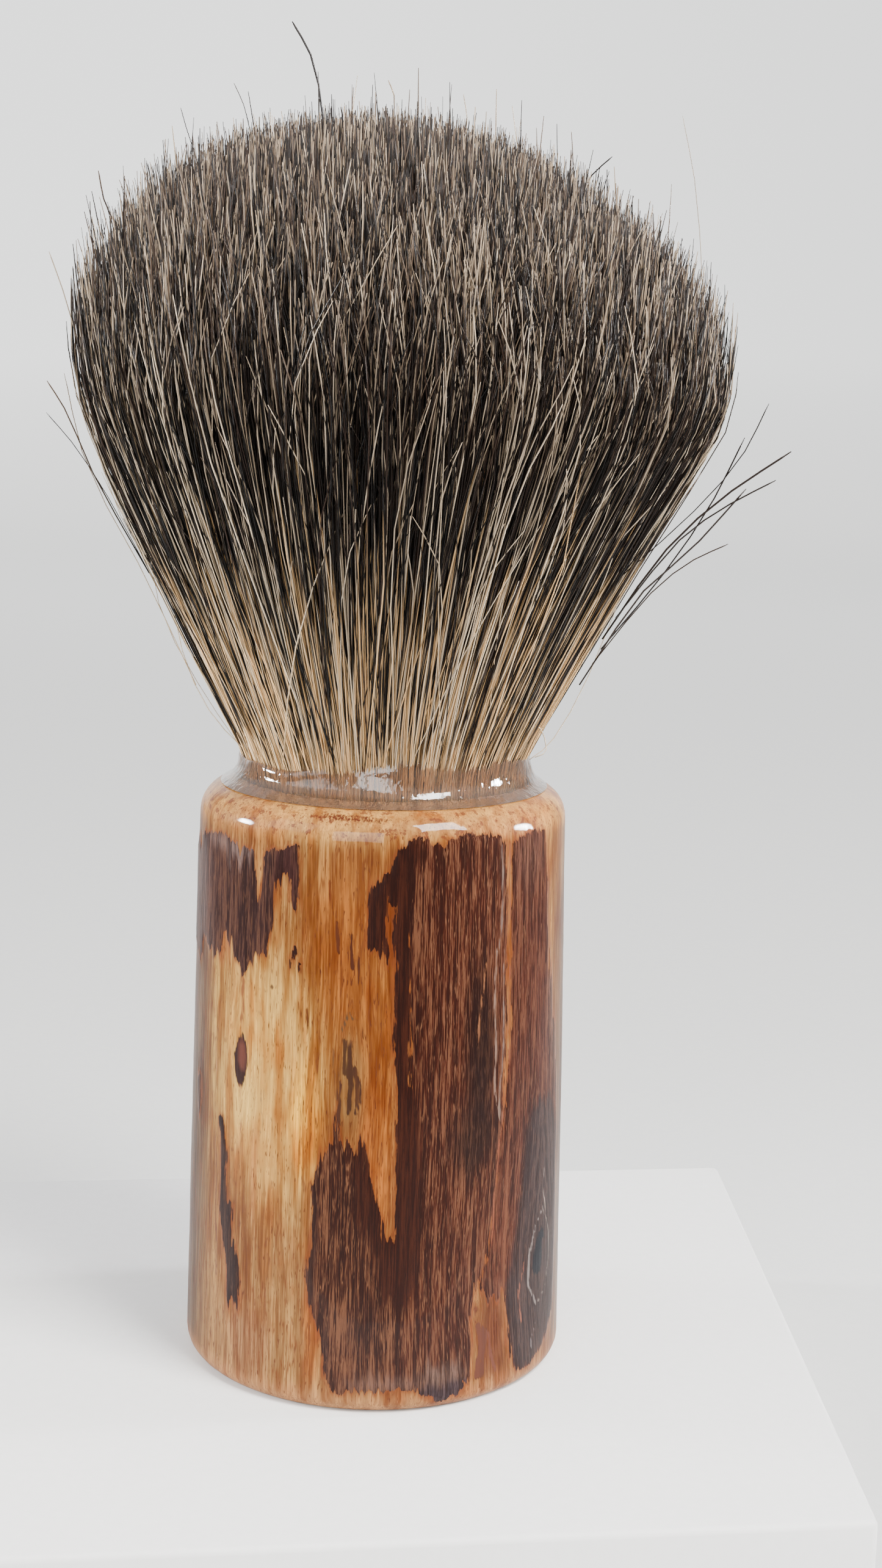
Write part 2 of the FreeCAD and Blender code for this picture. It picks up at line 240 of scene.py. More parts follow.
# name, outline, colour of the bark, how streaked it is (0 to 1)
BARK = [
    ("left shoulder", [
        (-96, 46), (-84, 49), (-70, 50.5), (-58, 51), (-48, 50.4), (-42, 50), (-41, 48), (-39.5, 45.6),
        (-38.6, 46.5), (-38, 50), (-36, 50.4), (-26, 51.3), (-25, 46.5), (-27, 46), (-28.5, 48),
        (-32, 48.6), (-33.6, 47), (-34, 44), (-36, 42), (-41, 40.4), (-45, 39), (-49, 40.5), (-54, 42),
        (-57, 41), (-60, 40), (-66, 41), (-74, 38.5), (-84, 41), (-92, 39),
    ], (66, 42, 38), 0.5),
    ("lower centre", [
        (-15, 24.6), (-13.4, 25), (-12.5, 28.4), (-11.5, 25.2), (-8, 24.8), (-5, 25.5), (0, 20), (6, 11),
        (12, 11), (29, 9), (29, 2.6), (14, 2.3), (-7, 2.3), (-10, 1.9), (-13, 2.6), (-14, 3.7),
        (-14, 5.8), (-16, 6.6), (-18, 8), (-19.5, 10), (-20, 12.4), (-20, 14), (-19, 15), (-19, 21),
        (-17, 22.3), (-16, 23.7),
    ], UMBER, 0.95),
    ("right of centre", [
        (7, 52.2), (11, 52.3), (18, 51.8), (23, 52.6), (30, 52.5), (39, 52), (39.8, 45), (40.2, 36),
        (39.8, 27), (38.6, 24), (37.6, 21), (37, 18.5), (35, 14.5), (33, 12.6), (30, 11), (29, 9),
        (29, 6), (29.5, 2.6), (22, 2.5), (4, 2.4), (11, 12), (12, 20), (9, 30), (8, 40),
    ], (76, 33, 20), 0.9),
    ("right side", [
        (41, 51.3), (44, 51.8), (50, 52.2), (58, 51.9), (60, 47), (62, 40), (68, 33), (71, 27),
        (72, 22), (72, 14), (71, 6), (66, 3.8), (60, 2.6), (52, 1.6), (47, 1.7), (44, 3.7), (43, 6),
        (42, 8.6), (41.6, 10.6), (38.6, 9.4), (37, 10), (35, 9.2), (32, 10.4), (33.6, 12.6),
        (35.6, 14.5), (37, 18), (38, 21), (39, 24), (41, 27.5), (42, 33), (42, 43),
    ], RUSSET, 0.6),
    ("long strip", [
        (6.5, 52), (9.5, 52.2), (10.3, 50.2), (11, 52), (11.4, 50.5), (8.3, 49.8), (7.8, 46), (8, 39),
        (8.5, 33.3), (9, 30.5), (10, 30), (10.5, 27.4), (11.5, 25), (12, 21), (13, 17.6), (12.5, 13.5),
        (11, 11.5), (10, 10.5), (7.5, 9.6), (4, 10.9), (2, 11.6), (1.6, 12.6), (1, 13.8), (0, 15.2),
        (-2, 16.6), (-4, 17), (-6, 18.6), (-6, 21.6), (-7, 22.7), (-7, 24.8), (-5.6, 25.7),
        (-4.8, 24), (-4, 23), (-2, 22.2), (-1, 20.7), (0, 19.5), (0.5, 18), (2, 16.6), (5, 16.3),
        (5.4, 20), (5.2, 25), (4.5, 31), (3.6, 38), (3.2, 46.3), (1.2, 46.8), (1, 45), (2, 41.7),
        (0.6, 41), (0, 43.3), (-2, 42), (-4, 42.7), (-4.4, 47), (-3, 48.4), (-1, 49.4), (2, 49.4),
        (3.5, 51),
    ], (66, 30, 18), 0.04),
    ("bluish knot", [
        (49.5, 23), (49.5, 19.7), (47.5, 18.2), (46.5, 16.2), (45, 14), (44, 11.7), (42.6, 10.9),
        (42.4, 8.6), (43.4, 6), (45, 3.7), (48, 1.9), (53, 1.9), (60, 2.9), (66, 4.2), (70, 6.4),
        (71, 12), (70.5, 17), (71, 22), (67, 26), (57, 27), (51, 25.4),
    ], SLATE, 0.22),
    ("left runner", [
        (-55.5, 25), (-53, 24.5), (-50.4, 22.5), (-51, 19.1), (-50, 17.6), (-48, 16.9), (-47, 13.7),
        (-45, 13), (-43.5, 11.8), (-43.5, 9.5), (-44, 7.6), (-45, 9), (-46, 8.1), (-47.5, 8),
        (-49, 9.3), (-50, 11.2), (-51, 12.5), (-52.6, 16.5), (-54, 20),
    ], (48, 30, 27), 0.2),
    ("foot spot", [
        (12.5, 2.3), (15, 2.6), (18, 2.9), (23, 2.9), (27, 2.7), (28.5, 2.1), (26, 1.7), (24, 1.1),
        (21, 0.7), (18, 1), (15.5, 1.7),
    ], (70, 56, 60), 0.1),
    ("small chip", [(-28, 41.9), (-24, 41.6), (-24.2, 40.9), (-26, 40.9), (-27, 40), (-27.6, 41)], DARK, 0.0),
    ("left tick", [(-73, 28), (-70, 27.5), (-69, 24.5), (-70.5, 23.5), (-72, 25)], (90, 70, 62), 0.3),
    ("back right", [
        (90, 51.4), (97, 52), (112, 51.7), (124, 52), (131, 50), (133, 41), (128.5, 34), (130.5, 23),
        (124, 12), (118, 8), (112, 14), (105, 9.5), (98, 17), (93, 26), (90, 38),
    ], UMBER, 0.75),
    ("back foot", [
        (143, 2.5), (160, 2.2), (178, 2.8), (176, 12), (170.5, 20), (172, 31), (166, 38.5), (160.5, 33),
        (157, 24), (150.5, 16), (145, 10),
    ], RUSSET, 0.7),
    ("back left", [
        (-178, 51.6), (-160, 52), (-142, 51.6), (-134.5, 48), (-138, 38), (-132, 28.5), (-136, 20),
        (-145.5, 15), (-150, 24), (-158, 19), (-164.5, 28), (-170, 34), (-173, 44),
    ], (76, 44, 36), 0.5),
    ("left foot", [
        (-126, 2.4), (-104, 2.2), (-95, 4), (-95.5, 14), (-99, 22), (-97.5, 29), (-104, 35), (-110, 28),
        (-116.5, 22), (-121, 12),
    ], UMBER, 0.85),
]

# Places inside the bark that differ from it: centre, half size (degrees, mm), colour, streaks, strength
BARK_WASHES = [
    ((31, 33), (6, 9), (28, 12, 11), 0.2, 1.0),
    ((29, 25), (9, 3.4), (32, 15, 12), 0.25, 0.95),
    ((-19, 15), (1.6, 9), (66, 40, 32), 0.1, 1.0),
    ((-14, 5.5), (2, 3), (66, 42, 36), 0.15, 0.9),
    ((-4, 8), (5, 3), (70, 42, 36), 0.45, 0.6),
    ((20, 3.6), (8, 1.1), (122, 96, 84), 0.3, 1.0),
    ((4, 2.9), (12, 0.8), (130, 98, 84), 0.6, 0.8),
    ((-30, 48), (4, 4), (74, 42, 38), 0.05, 1.0),
    ((-50, 50), (9, 0.9), (146, 124, 116), 0.5, 0.75),
    ((-62, 50.4), (6, 0.8), (130, 108, 102), 0.5, 0.7),
    ((-76, 45), (12, 8), (104, 82, 78), 0.4, 0.8),
    ((70, 38), (8, 10), (132, 102, 88), 0.7, 0.9),
    ((40, 16), (3, 7), (104, 56, 38), 0.6, 0.9),
    ((50, 50), (8, 3), (100, 66, 54), 0.7, 0.8),
]

# The bare wood: its ground colour, and what is laid over it as centre, half size, colour, strength.
# The first of these covers it almost everywhere.
BARE_WOOD = (205, 160, 112)
WOOD_WASHES = [
    ((0, 27), (400, 400), (178, 144, 92), 1.0),
    ((-8, 40), (17, 14), (178, 120, 56), 1.0),
    ((0, 24), (5, 10), (186, 126, 58), 1.0),
    ((-9, 30), (4.5, 5), (150, 116, 70), 0.8),
    ((-37, 29.5), (20, 12), (206, 184, 134), 1.0),
    ((-22, 27), (5, 5), (218, 188, 110), 0.8),
    ((-58, 33), (5, 10), (200, 178, 124), 0.8),
    ((-55, 42), (5, 3), (200, 150, 98), 0.6),
    ((-44, 17), (6, 7), (170, 130, 78), 0.6),
    ((-39, 20), (1.6, 6), (198, 162, 112), 0.7),
    ((-27, 8), (7, 7), (174, 140, 88), 0.9),
    ((-18.5, 7), (3, 5), (180, 118, 48), 0.9),
    ((-40, 5), (9, 4), (168, 128, 92), 0.7),
    # Painted shade: this wash and the one at 80 degrees darken the wood towards both edges of the handle as
    # seen from the front.
    ((-80, 22), (20, 36), (92, 72, 54), 0.9),
    ((37, 6), (6, 6), (124, 76, 48), 0.95),
    # Painted shade at the right edge of the handle, as seen from the front.
    ((80, 25), (12, 32), (108, 80, 58), 0.9),
    ((0, 53.4), (400, 1.9), (198, 166, 112), 0.95),
    ((0, 0.6), (400, 1.6), (186, 148, 106), 0.85),
    ((118, 30), (20, 30), (192, 132, 78), 0.6),
    ((-112, 40), (14, 12), (196, 128, 66), 0.8),
    ((-150, 8), (14, 8), (214, 172, 120), 0.8),
]

# Where the planed wood is smooth, with hardly a line in it: centre, half size
SMOOTH = [((-38, 30), (17, 11)), ((0, 53.9), (400, 2.2)), ((-8.5, 30), (4, 4)), ((0, 0.4), (400, 1.4))]

# Lens-shaped knots that the grain runs round: centre, half width and half height in mm
KNOTS = [
    ((-45.4, 31.6), 0.9, 3.6), ((59, 12.2), 2.4, 6.0), ((-8.5, 30.5), 0.7, 4.0), ((31, 8.9), 0.5, 0.8),
    ((150, 41), 1.6, 3.4), ((-112, 12), 1.4, 3.0),
]

# Drawn lines: points, width in mm, colour, strength
LINES = [
    ([
        (40.6, 51.4), (41, 45.6), (41.4, 39), (41.4, 33.6), (42, 32), (41.4, 29.9), (40.4, 27.7), (39, 25.5),
        (38.6, 24), (38, 21), (37, 19), (36.4, 14),
    ], 0.26, (142, 84, 58), 0.7),
    # Painted highlight: these three pale lines run down the bark ridge at 36 to 39 degrees.
    ([(37.6, 51.6), (37.6, 46), (37, 42)], 0.3, (124, 102, 90), 0.7),
    ([(36, 42), (35.6, 36), (36.4, 30), (38, 26.4)], 0.26, (140, 112, 96), 0.82),
    ([(38.8, 42), (38.8, 36), (39, 31), (38.2, 26.4)], 0.24, (128, 106, 94), 0.8),
    ([(32, 41), (31, 37), (29.5, 33)], 0.22, (150, 100, 66), 0.9),
    ([(60, 16.2), (55.5, 15), (52.4, 12.4), (52.6, 9.6), (56, 7.4)], 0.32, (136, 124, 118), 0.85),
    ([(60, 16.4), (64, 14.6), (65.4, 11.3), (63, 8.4), (56.5, 7.2)], 0.28, (124, 110, 100), 0.8),
    ([(61, 20.5), (60.4, 18), (62.4, 15.6)], 0.2, (170, 156, 146), 0.7),
    ([(50, 12), (47.6, 9), (48.6, 6.4)], 0.24, (150, 92, 68), 0.8),
    ([(56, 5.6), (54, 3.6), (56.6, 2.6)], 0.2, (160, 150, 148), 0.6),
    ([(-45, 38.6), (-45.4, 35.4), (-46, 34.6)], 0.5, (150, 96, 56), 0.7),
    ([(-45.6, 28.4), (-45, 26.6), (-44, 22.5)], 0.34, (160, 108, 70), 0.6),
    ([(-12.6, 28.6), (-11.8, 31.5), (-9.6, 34.4), (-7.6, 34.2)], 0.34, (104, 66, 44), 0.6),
    ([(-8, 32), (-5.6, 30.6), (-5.4, 29), (-6.6, 27.8)], 0.44, (70, 44, 34), 0.75),
    ([(-12, 27.4), (-11.4, 30.6)], 0.4, (84, 50, 36), 0.7),
    ([(-10.8, 34.6), (-10, 31.4)], 0.34, (82, 54, 34), 0.85),
    ([(-9, 33.8), (-8.4, 30.6), (-8.8, 28)], 0.5, (76, 48, 32), 0.85),
    ([(-6.8, 31.8), (-6.4, 28.8)], 0.34, (88, 54, 34), 0.85),
    ([(-11.6, 29.6), (-11.2, 26.8)], 0.3, (84, 52, 34), 0.8),
    ([(-57.6, 23), (-56, 17), (-54.6, 10)], 0.3, (116, 72, 56), 0.7),
    ([(-32.8, 13.6), (-33.4, 10.4), (-34.4, 5.6)], 0.22, (120, 70, 40), 0.7),
    ([(32, 7.6), (32.6, 5.6), (32, 2.6)], 0.6, (104, 60, 44), 0.9),
    ([(33.8, 7.2), (34, 4.6), (33.6, 2.6)], 0.4, (96, 56, 42), 0.9),
    ([(35.4, 6.4), (36.8, 4.4), (38, 2.6)], 0.36, (112, 66, 50), 0.8),
    ([(-60, 38.4), (-59.6, 33), (-57, 26)], 0.3, (170, 122, 78), 0.5),
    ([(-40.4, 37.5), (-39.6, 37.6)], 0.3, (116, 84, 56), 0.75),
    ([(-37.4, 38), (-36.8, 37.9)], 0.26, (116, 84, 56), 0.75),
    ([(-34.4, 38.4), (-33.4, 38.2)], 0.3, (116, 84, 56), 0.75),
    ([(-36, 28.8), (-36.8, 27.4), (-35.6, 26.2), (-37, 24.8)], 0.26, (136, 108, 78), 0.75),
    ([(-32.6, 26.6), (-32.2, 25.2), (-33, 24)], 0.24, (140, 104, 70), 0.7),
    ([(-41.6, 34.6), (-40, 35.8), (-38, 36)], 0.2, (150, 118, 80), 0.6),
    ([(-22.4, 37), (-22, 34.8)], 0.26, (112, 62, 32), 0.85),
    ([(-24.4, 37.6), (-24.2, 36)], 0.24, (120, 66, 34), 0.8),
    ([(-19.4, 39.4), (-19, 36.8)], 0.24, (118, 64, 34), 0.8),
    ([(-13.2, 44.8), (-12.8, 42.2)], 0.3, (96, 50, 28), 0.85),
    ([(-9.4, 44), (-9, 40.6)], 0.34, (86, 44, 26), 0.85),
    ([(-7, 41.8), (-6.8, 39.4)], 0.26, (92, 48, 28), 0.8),
    ([(-16, 48.6), (-15.6, 45.4)], 0.22, (120, 62, 30), 0.75),
    ([(-20, 49.6), (-20, 47)], 0.2, (126, 66, 32), 0.7),
    ([(-5.6, 38), (-5, 34.6)], 0.24, (110, 64, 34), 0.75),
    ([(-10.8, 35.4), (-9.4, 36.8), (-7.8, 36.2)], 0.3, (100, 74, 50), 0.75),
    ([(-13.6, 33.6), (-13, 29.4)], 0.26, (120, 82, 50), 0.7),
]

# Filled marks: outline, colour, strength
FILLS = [
    ([
        (-45.2, 33.6), (-47, 32.8), (-48.6, 31.4), (-48.4, 30), (-47, 28.8), (-45.4, 28.4), (-43.4, 29.6),
        (-42.4, 31.2), (-43, 32.8),
    ], (58, 36, 32), 1.0),
    ([
        (-45.4, 33), (-46.6, 32.4), (-46.8, 30.8), (-45.4, 30), (-43.8, 30.4), (-43.2, 31.4), (-43.8, 32.6),
    ], (112, 66, 54), 0.9),
    ([
        (59.6, 14.6), (56.6, 13.8), (54.6, 12.2), (54.2, 10.8), (56.4, 10), (59, 10.2), (60.2, 11.4),
        (59.8, 12.8), (61.6, 13.9),
    ], (28, 28, 34), 1.0),
    ([(31, 9.5), (30.2, 8.9), (31, 8.4), (31.8, 8.9)], (110, 60, 40), 0.9),
    ([(-17.6, 40.6), (-18.4, 40.3), (-18, 39.6), (-17.4, 40)], (90, 44, 30), 0.9),
    ([(-22, 34.5), (-22.6, 34), (-21.8, 33.4), (-21.4, 34)], (140, 66, 34), 0.9),
    ([(-21.4, 40.8), (-21.8, 39.6), (-21.2, 39.2), (-20.9, 40.2)], (96, 50, 34), 0.9),
    ([(-25.4, 34), (-26.4, 33.8), (-25.8, 33.4)], (150, 90, 50), 0.8),
    ([(149.6, 42.6), (147.6, 41.4), (149.4, 39.6), (151.4, 40.8)], (56, 38, 34), 1.0),
    ([(-112, 13.6), (-113.8, 12.2), (-112, 10.6), (-110.4, 12)], (58, 44, 42), 1.0),
    ([(-28, 53.9), (-16, 53.5), (-6, 53.5), (4, 53.8), (-4, 54.1), (-16, 54.2)], (104, 52, 36), 0.6),
]


def unrolled(points):
    """Angle from the front in degrees, height in mm, and radius in mm of points in metres."""
    angle = np.degrees(np.arctan2(points[:, 0], -points[:, 1]))
    return angle, points[:, 2] / MM, np.hypot(points[:, 0], points[:, 1]) / MM


# Above and below these heights in mm, the torn ends of the bark were cut back.
CUT_BACK_FOOT, CUT_BACK_TOP = 5, 48.5
# At the handle's mean radius
MM_PER_DEGREE = math.radians((BASE_RADIUS + RIM_RADIUS) / 2 / MM)


def flat_steps(outline, angle, height):
    """Offsets from a drawn shape's first point, in mm on the unrolled wood, of it and of the points."""
    corners = np.array(outline, float)
    origin = corners[0].copy()
    corners -= origin
    across = (angle - origin[0] + 180) % 360 - 180
    return corners * (MM_PER_DEGREE, 1), np.stack([across * MM_PER_DEGREE, height - origin[1]], 1)


def distance_to_runs(corners, places, closed):
    """Distance in mm from each place to the nearest run between corners."""
    nearest = np.full(len(places), 1e9)
    ends = np.roll(corners, -1, axis=0) if closed else corners[1:]
    for a, b in zip(corners, ends):
        run = b - a
        share = np.clip((places - a) @ run / (run @ run), 0, 1)
        nearest = np.minimum(nearest, np.linalg.norm(places - a - share[:, None] * run, axis=1))
    return nearest


def depth_inside(outline, angle, height):
    """How far inside an outline each place is, in mm, negative outside."""
    corners, places = flat_steps(outline, angle, height)
    x, y = places.T
    inside = np.zeros(len(places), bool)
    for (ax, ay), (bx, by) in zip(corners, np.roll(corners, -1, axis=0)):
        if ay != by:
            inside ^= ((ay > y) != (by > y)) & (x < (bx - ax) * (y - ay) / (by - ay) + ax)
    return np.where(inside, 1, -1) * distance_to_runs(corners, places, closed=True)


def near(outline, angle, height, reach=3.0):
    """Which places are within reach mm of a drawn shape's box."""
    corners, places = flat_steps(outline, angle, height)
    low, high = corners.min(0) - reach, corners.max(0) + reach
    return ((places > low) & (places < high)).all(1)


def wash(centre, half, angle, height):
    """A soft oval patch, 1 in the middle."""
    across = (angle - centre[0] + 180) % 360 - 180
    fade = (across / half[0]) ** 2 + ((height - centre[1]) / half[1]) ** 2
    return np.exp(-fade**2)


def laid_over(under, over, amount):
    return under + (np.array(paint(*over)) - under) * amount[:, None]


def noises(points, scale, seed):
    """Smooth noise about zero at points, after a scale along each axis."""
    offset = Vector((seed * 17.3, seed * 5.1, seed * 9.7))
    factors = Vector(scale)
    return np.array([noise.noise(Vector(p) * factors + offset) for p in points.tolist()])


def paint_wood(mesh):
    """Stores where the bark is, the colours of bark, wood and marks, and the run of the grain."""
    points = points_of(mesh)
    angle, height, _ = unrolled(points)
    mm = points / MM
    fibres = noises(mm, (2.4, 2.4, 0.12), 1) + 0.6 * noises(mm, (5.0, 5.0, 0.3), 2)
    wander = noises(mm, (0.5, 0.5, 0.35), 3)
    # Fibres tear far along the grain and little across it, but were cut back square at both ends.
    calm = 1 - 0.75 * np.clip((height - CUT_BACK_TOP) / 2, 0, 1)
    calm -= 0.7 * np.clip((CUT_BACK_FOOT - height) / 2, 0, 1)
    torn_height = height + 1.7 * fibres * calm + 0.3 * wander
    torn_angle = angle + (0.12 * fibres + 0.25 * wander) / MM_PER_DEGREE

    bark = np.full(len(points), -9.0)
    bark_colour = np.tile(paint(*UMBER), (len(points), 1))
    streaks = np.full(len(points), 0.5)
    for _, outline, colour, streaked in BARK:
        here = near(outline, angle, height, 5.0)
        depth = depth_inside(outline, torn_angle[here], torn_height[here])
        bark[here] = np.maximum(bark[here], depth)
        cover = np.clip(depth / 0.5 + 0.8, 0, 1)
        bark_colour[here] = laid_over(bark_colour[here], colour, cover)
        streaks[here] += (streaked - streaks[here]) * cover
    for centre, half, colour, streaked, strength in BARK_WASHES:
        cover = strength * wash(centre, half, torn_angle, torn_height)
        bark_colour = laid_over(bark_colour, colour, cover)
        streaks += (streaked - streaks) * cover

    wood_colour = np.tile(paint(*BARE_WOOD), (len(points), 1))
    for centre, half, colour, strength in WOOD_WASHES:
        wood_colour = laid_over(wood_colour, colour, strength * wash(centre, half, torn_angle, torn_height))

    smooth = np.max([wash(centre, half, torn_angle, height) for centre, half in SMOOTH], axis=0)

    marks = np.zeros((len(points), 4))
    for outline, colour, strength in FILLS:
        here = near(outline, angle, height)
        depth = depth_inside(outline, angle[here] + 0.4 * wander[here], height[here])
        lay_mark(marks, here, colour, strength * np.clip(depth / 0.3 + 0.5, 0, 1))
    for line, width, colour, strength in LINES:
        here = near(line, angle, height)
        corners, places = flat_steps(line, angle[here] + 0.8 * wander[here], height[here])
        gap = distance_to_runs(corners, places, closed=False) - width / 2
        lay_mark(marks, here, colour, strength * np.clip(0.5 - gap / 0.25, 0, 1))

    grain = mm.copy()
    for (knot_angle, knot_height), half_width, half_height in KNOTS:
        across = ((angle - knot_angle + 180) % 360 - 180) * MM_PER_DEGREE
        along = (height - knot_height) / (1.5 * half_height)
        part = half_width * np.exp(-(along**2)) * np.exp(-np.abs(across) / (2.5 * half_width))
        shift = -np.sign(across) * part
        grain[:, 0] += shift * np.cos(np.radians(angle))
        grain[:, 1] += shift * np.sin(np.radians(angle))

    store(mesh, "bark", "FLOAT", bark, "value")
    store(mesh, "streaks", "FLOAT", streaks, "value")
    store(mesh, "smooth_wood", "FLOAT", smooth, "value")
    store(mesh, "bark_colour", "FLOAT_COLOR", bark_colour, "color")
    store(mesh, "wood_colour", "FLOAT_COLOR", wood_colour, "color")
    store(mesh, "marks", "FLOAT_COLOR", marks, "color")
    store(mesh, "grain", "FLOAT_VECTOR", grain, "vector")
    return points, bark


def lay_mark(marks, here, colour, cover):
    """Paints a mark over what is drawn already, with the last value as its strength."""
    under = marks[here]
    total = np.maximum(under[:, 3], cover)
    share = np.where(total > 0, cover / np.maximum(total, 1e-6), 0)[:, None]
    marks[here, :3] = under[:, :3] + (np.array(paint(*colour)[:3]) - under[:, :3]) * share
    marks[here, 3] = total


# ---------------------------------------------------------------- materials


def make_grain_group():
    """Long fibres of wood or bark: bright and dark lines, short pores and broad clouds."""
    tree, given, result = new_group(
        "wood fibres",
        {"Place": (0.0, 0.0, 0.0), "Across": 1.0, "Along": 1.0},
        {"Fibres": 0.0, "Lines": 0.0, "Pores": 0.0, "Clouds": 0.0, "Patches": 0.0},
    )
    factors = {0: given["Across"], 1: given["Across"], 2: given["Along"]}
    stretch = wire(tree, "ShaderNodeCombineXYZ", factors).outputs[0]
    fine = scaled(tree, given["Place"], stretch)
    broad = clouds(tree, scaled(tree, fine, (1.1, 1.1, 0.05)), 1.0, 4.0, 0.65)
    thin = clouds(tree, scaled(tree, fine, (5.5, 5.5, 0.22)), 1.0, 3.0, 0.6)
    both = sums(tree, "ADD", sums(tree, "MULTIPLY", broad, 0.5), sums(tree, "MULTIPLY", thin, 0.5))
    tree.links.new(ramped(tree, both, 0.38, 0.62), result["Fibres"])
    wavy = clouds(tree, scaled(tree, fine, (2.6, 2.6, 0.16)), 1.0, 2.0, 0.5)
    crest = sums(tree, "ABSOLUTE", sums(tree, "SUBTRACT", wavy, 0.5))
    breaks = clouds(tree, scaled(tree, fine, (2.2, 2.2, 0.4)), 1.0, 2.0, 0.6)
    lines = sums(tree, "MULTIPLY", ramped(tree, crest, 0.045, 0.005), ramped(tree, breaks, 0.42, 0.58))
    tree.links.new(lines, result["Lines"])
    pores = clouds(tree, scaled(tree, fine, (8.0, 8.0, 1.1)), 1.0, 1.0, 0.5)
    tree.links.new(ramped(tree, pores, 0.64, 0.72), result["Pores"])
    tree.links.new(clouds(tree, given["Place"], 0.16, 3.0), result["Clouds"])
    tree.links.new(clouds(tree, scaled(tree, fine, (0.7, 0.7, 0.1)), 1.0, 3.0, 0.55), result["Patches"])
    return tree


def branch_wood(grain_group):
    """Planed wood and torn bark under a thick, glossy, clear coat."""
    material, tree, shader = new_material(
        "branch_wood_under_lacquer", coat_roughness=0.04, coat_ior=1.45, specular_ior_level=0.04
    )
    place = attribute(tree, "grain", "Vector")
    wood = use_group(tree, grain_group, {"Place": place, "Across": 1.0, "Along": 1.0})
    bark = use_group(tree, grain_group, {"Place": place, "Across": 1.9, "Along": 1.3})
    amount = attribute(tree, "streaks")

    def part(value, share):
        return sums(tree, "MULTIPLY", value, share)

    rough = sums(tree, "SUBTRACT", 1.0, part(attribute(tree, "smooth_wood"), 0.62))
    planed = attribute(tree, "wood_colour", "Color")
    hollows = part(sums(tree, "SUBTRACT", 1.0, wood["Fibres"]), part(rough, 0.78))
    planed = blended(tree, hollows, planed, rgb(156, 112, 66), "MULTIPLY")
    patches = ramped(tree, wood["Patches"], 0.42, 0.66, 0.0, 0.85)
    planed = blended(tree, patches, planed, rgb(188, 150, 114), "MULTIPLY")
    crests = part(ramped(tree, wood["Fibres"], 0.55, 1.0), 0.5)
    planed = blended(tree, crests, planed, (1.45, 1.4, 1.3, 1), "MULTIPLY")
    planed = blended(tree, part(wood["Lines"], part(rough, 0.76)), planed, paint(120, 66, 34))
    planed = blended(tree, part(wood["Pores"], 0.85), planed, paint(104, 56, 34))
    broad = ramped(tree, wood["Clouds"], 0.4, 0.7, 0.0, 0.7)
    planed = blended(tree, broad, planed, rgb(226, 194, 164), "MULTIPLY")
    up = wire(tree, "ShaderNodeSeparateXYZ", {0: object_place(tree)}).outputs[2]
    flecks = ramped(tree, clouds(tree, scaled(tree, place, (1.5, 1.5, 1.5)), 1.0, 3.0, 0.6), 0.57, 0.63)
    flecks = part(flecks, ramped(tree, up, TOP - 3.6 * MM, TOP - 2.0 * MM, 0.0, 0.75))
    planed = blended(tree, flecks, planed, paint(120, 60, 40))

    torn = attribute(tree, "bark_colour", "Color")
    torn = blended(tree, ramped(tree, bark["Fibres"], 0.15, 0.85, 0.8, 0.0), torn, paint(36, 15, 11))
    pale_fibres = part(ramped(tree, bark["Fibres"], 0.6, 0.95), part(amount, 0.7))
    streak = sums(tree, "MAXIMUM", part(bark["Lines"], part(amount, 0.9)), pale_fibres)
    torn = blended(tree, streak, torn, paint(138, 94, 66))
    torn = blended(tree, part(bark["Pores"], 0.6), torn, paint(34, 17, 15))

    ragged = clouds(tree, scaled(tree, place, (4.5, 4.5, 0.5)), 1.0, 3.0)
    stray = sums(tree, "SUBTRACT", ragged, 0.5)
    edge = sums(tree, "ADD", attribute(tree, "bark"), part(stray, 1.1))
    covered = ramped(tree, edge, -0.05, 0.05)
    planed = blended(tree, ramped(tree, edge, -0.45, 0.0, 0.0, 0.6), planed, paint(140, 74, 36))
    surface = blended(tree, covered, planed, torn)
    mark = sums(tree, "ADD", attribute(tree, "marks", "Alpha"), part(stray, 1.5))
    surface = blended(tree, ramped(tree, mark, 0.35, 0.7), surface, attribute(tree, "marks", "Color"))
    tree.links.new(surface, shader.inputs["Base Color"])

    tree.links.new(ramped(tree, covered, 0.0, 1.0, 0.45, 0.65), shader.inputs["Roughness"])
    # The coat has run thickest on the shoulder.
    tree.links.new(ramped(tree, up, TOP - 3.2 * MM, TOP - 1.8 * MM, 0.22, 0.5), shader.inputs["Coat Weight"])
    relief = sums(tree, "ADD", part(wood["Fibres"], 0.35), part(covered, 0.5))
    relief = sums(tree, "ADD", relief, part(bark["Lines"], part(covered, 0.6)))
    bump = wire(tree, "ShaderNodeBump", {"Height": relief, "Strength": 0.35, "Distance": 0.00012})
    tree.links.new(bump.outputs[0], shader.inputs["Normal"])
    return material


def hair_ramp(tree, band, stops):
    """Colours along a hair: (place from root 0 to tip 1, screen colour)."""
    node = wire(tree, "ShaderNodeValToRGB", {"Fac": band})
    while len(node.color_ramp.elements) < len(stops):
        node.color_ramp.elements.new(0.5)
    for element, (place, colour) in zip(node.color_ramp.elements, stops):
        element.position, element.color = place, rgb(*colour)
    return node.outputs[0]


# Colours along each sort of hair
DARK_TIPPED = [
    (0.0, (230, 186, 128)), (0.26, (220, 178, 126)), (0.4, (15, 11, 10)), (0.72, (10, 8, 7)),
    (1.0, (22, 16, 13)),
]
PALE_TIPPED = [
    (0.0, (234, 192, 136)), (0.28, (224, 184, 132)), (0.4, (20, 15, 13)), (0.7, (18, 14, 12)),
    (0.86, (70, 58, 48)), (1.0, (94, 78, 64)),
]
PALE = [(0.0, (240, 202, 148)), (0.4, (222, 200, 168)), (0.75, (176, 157, 134)), (1.0, (154, 134, 110))]


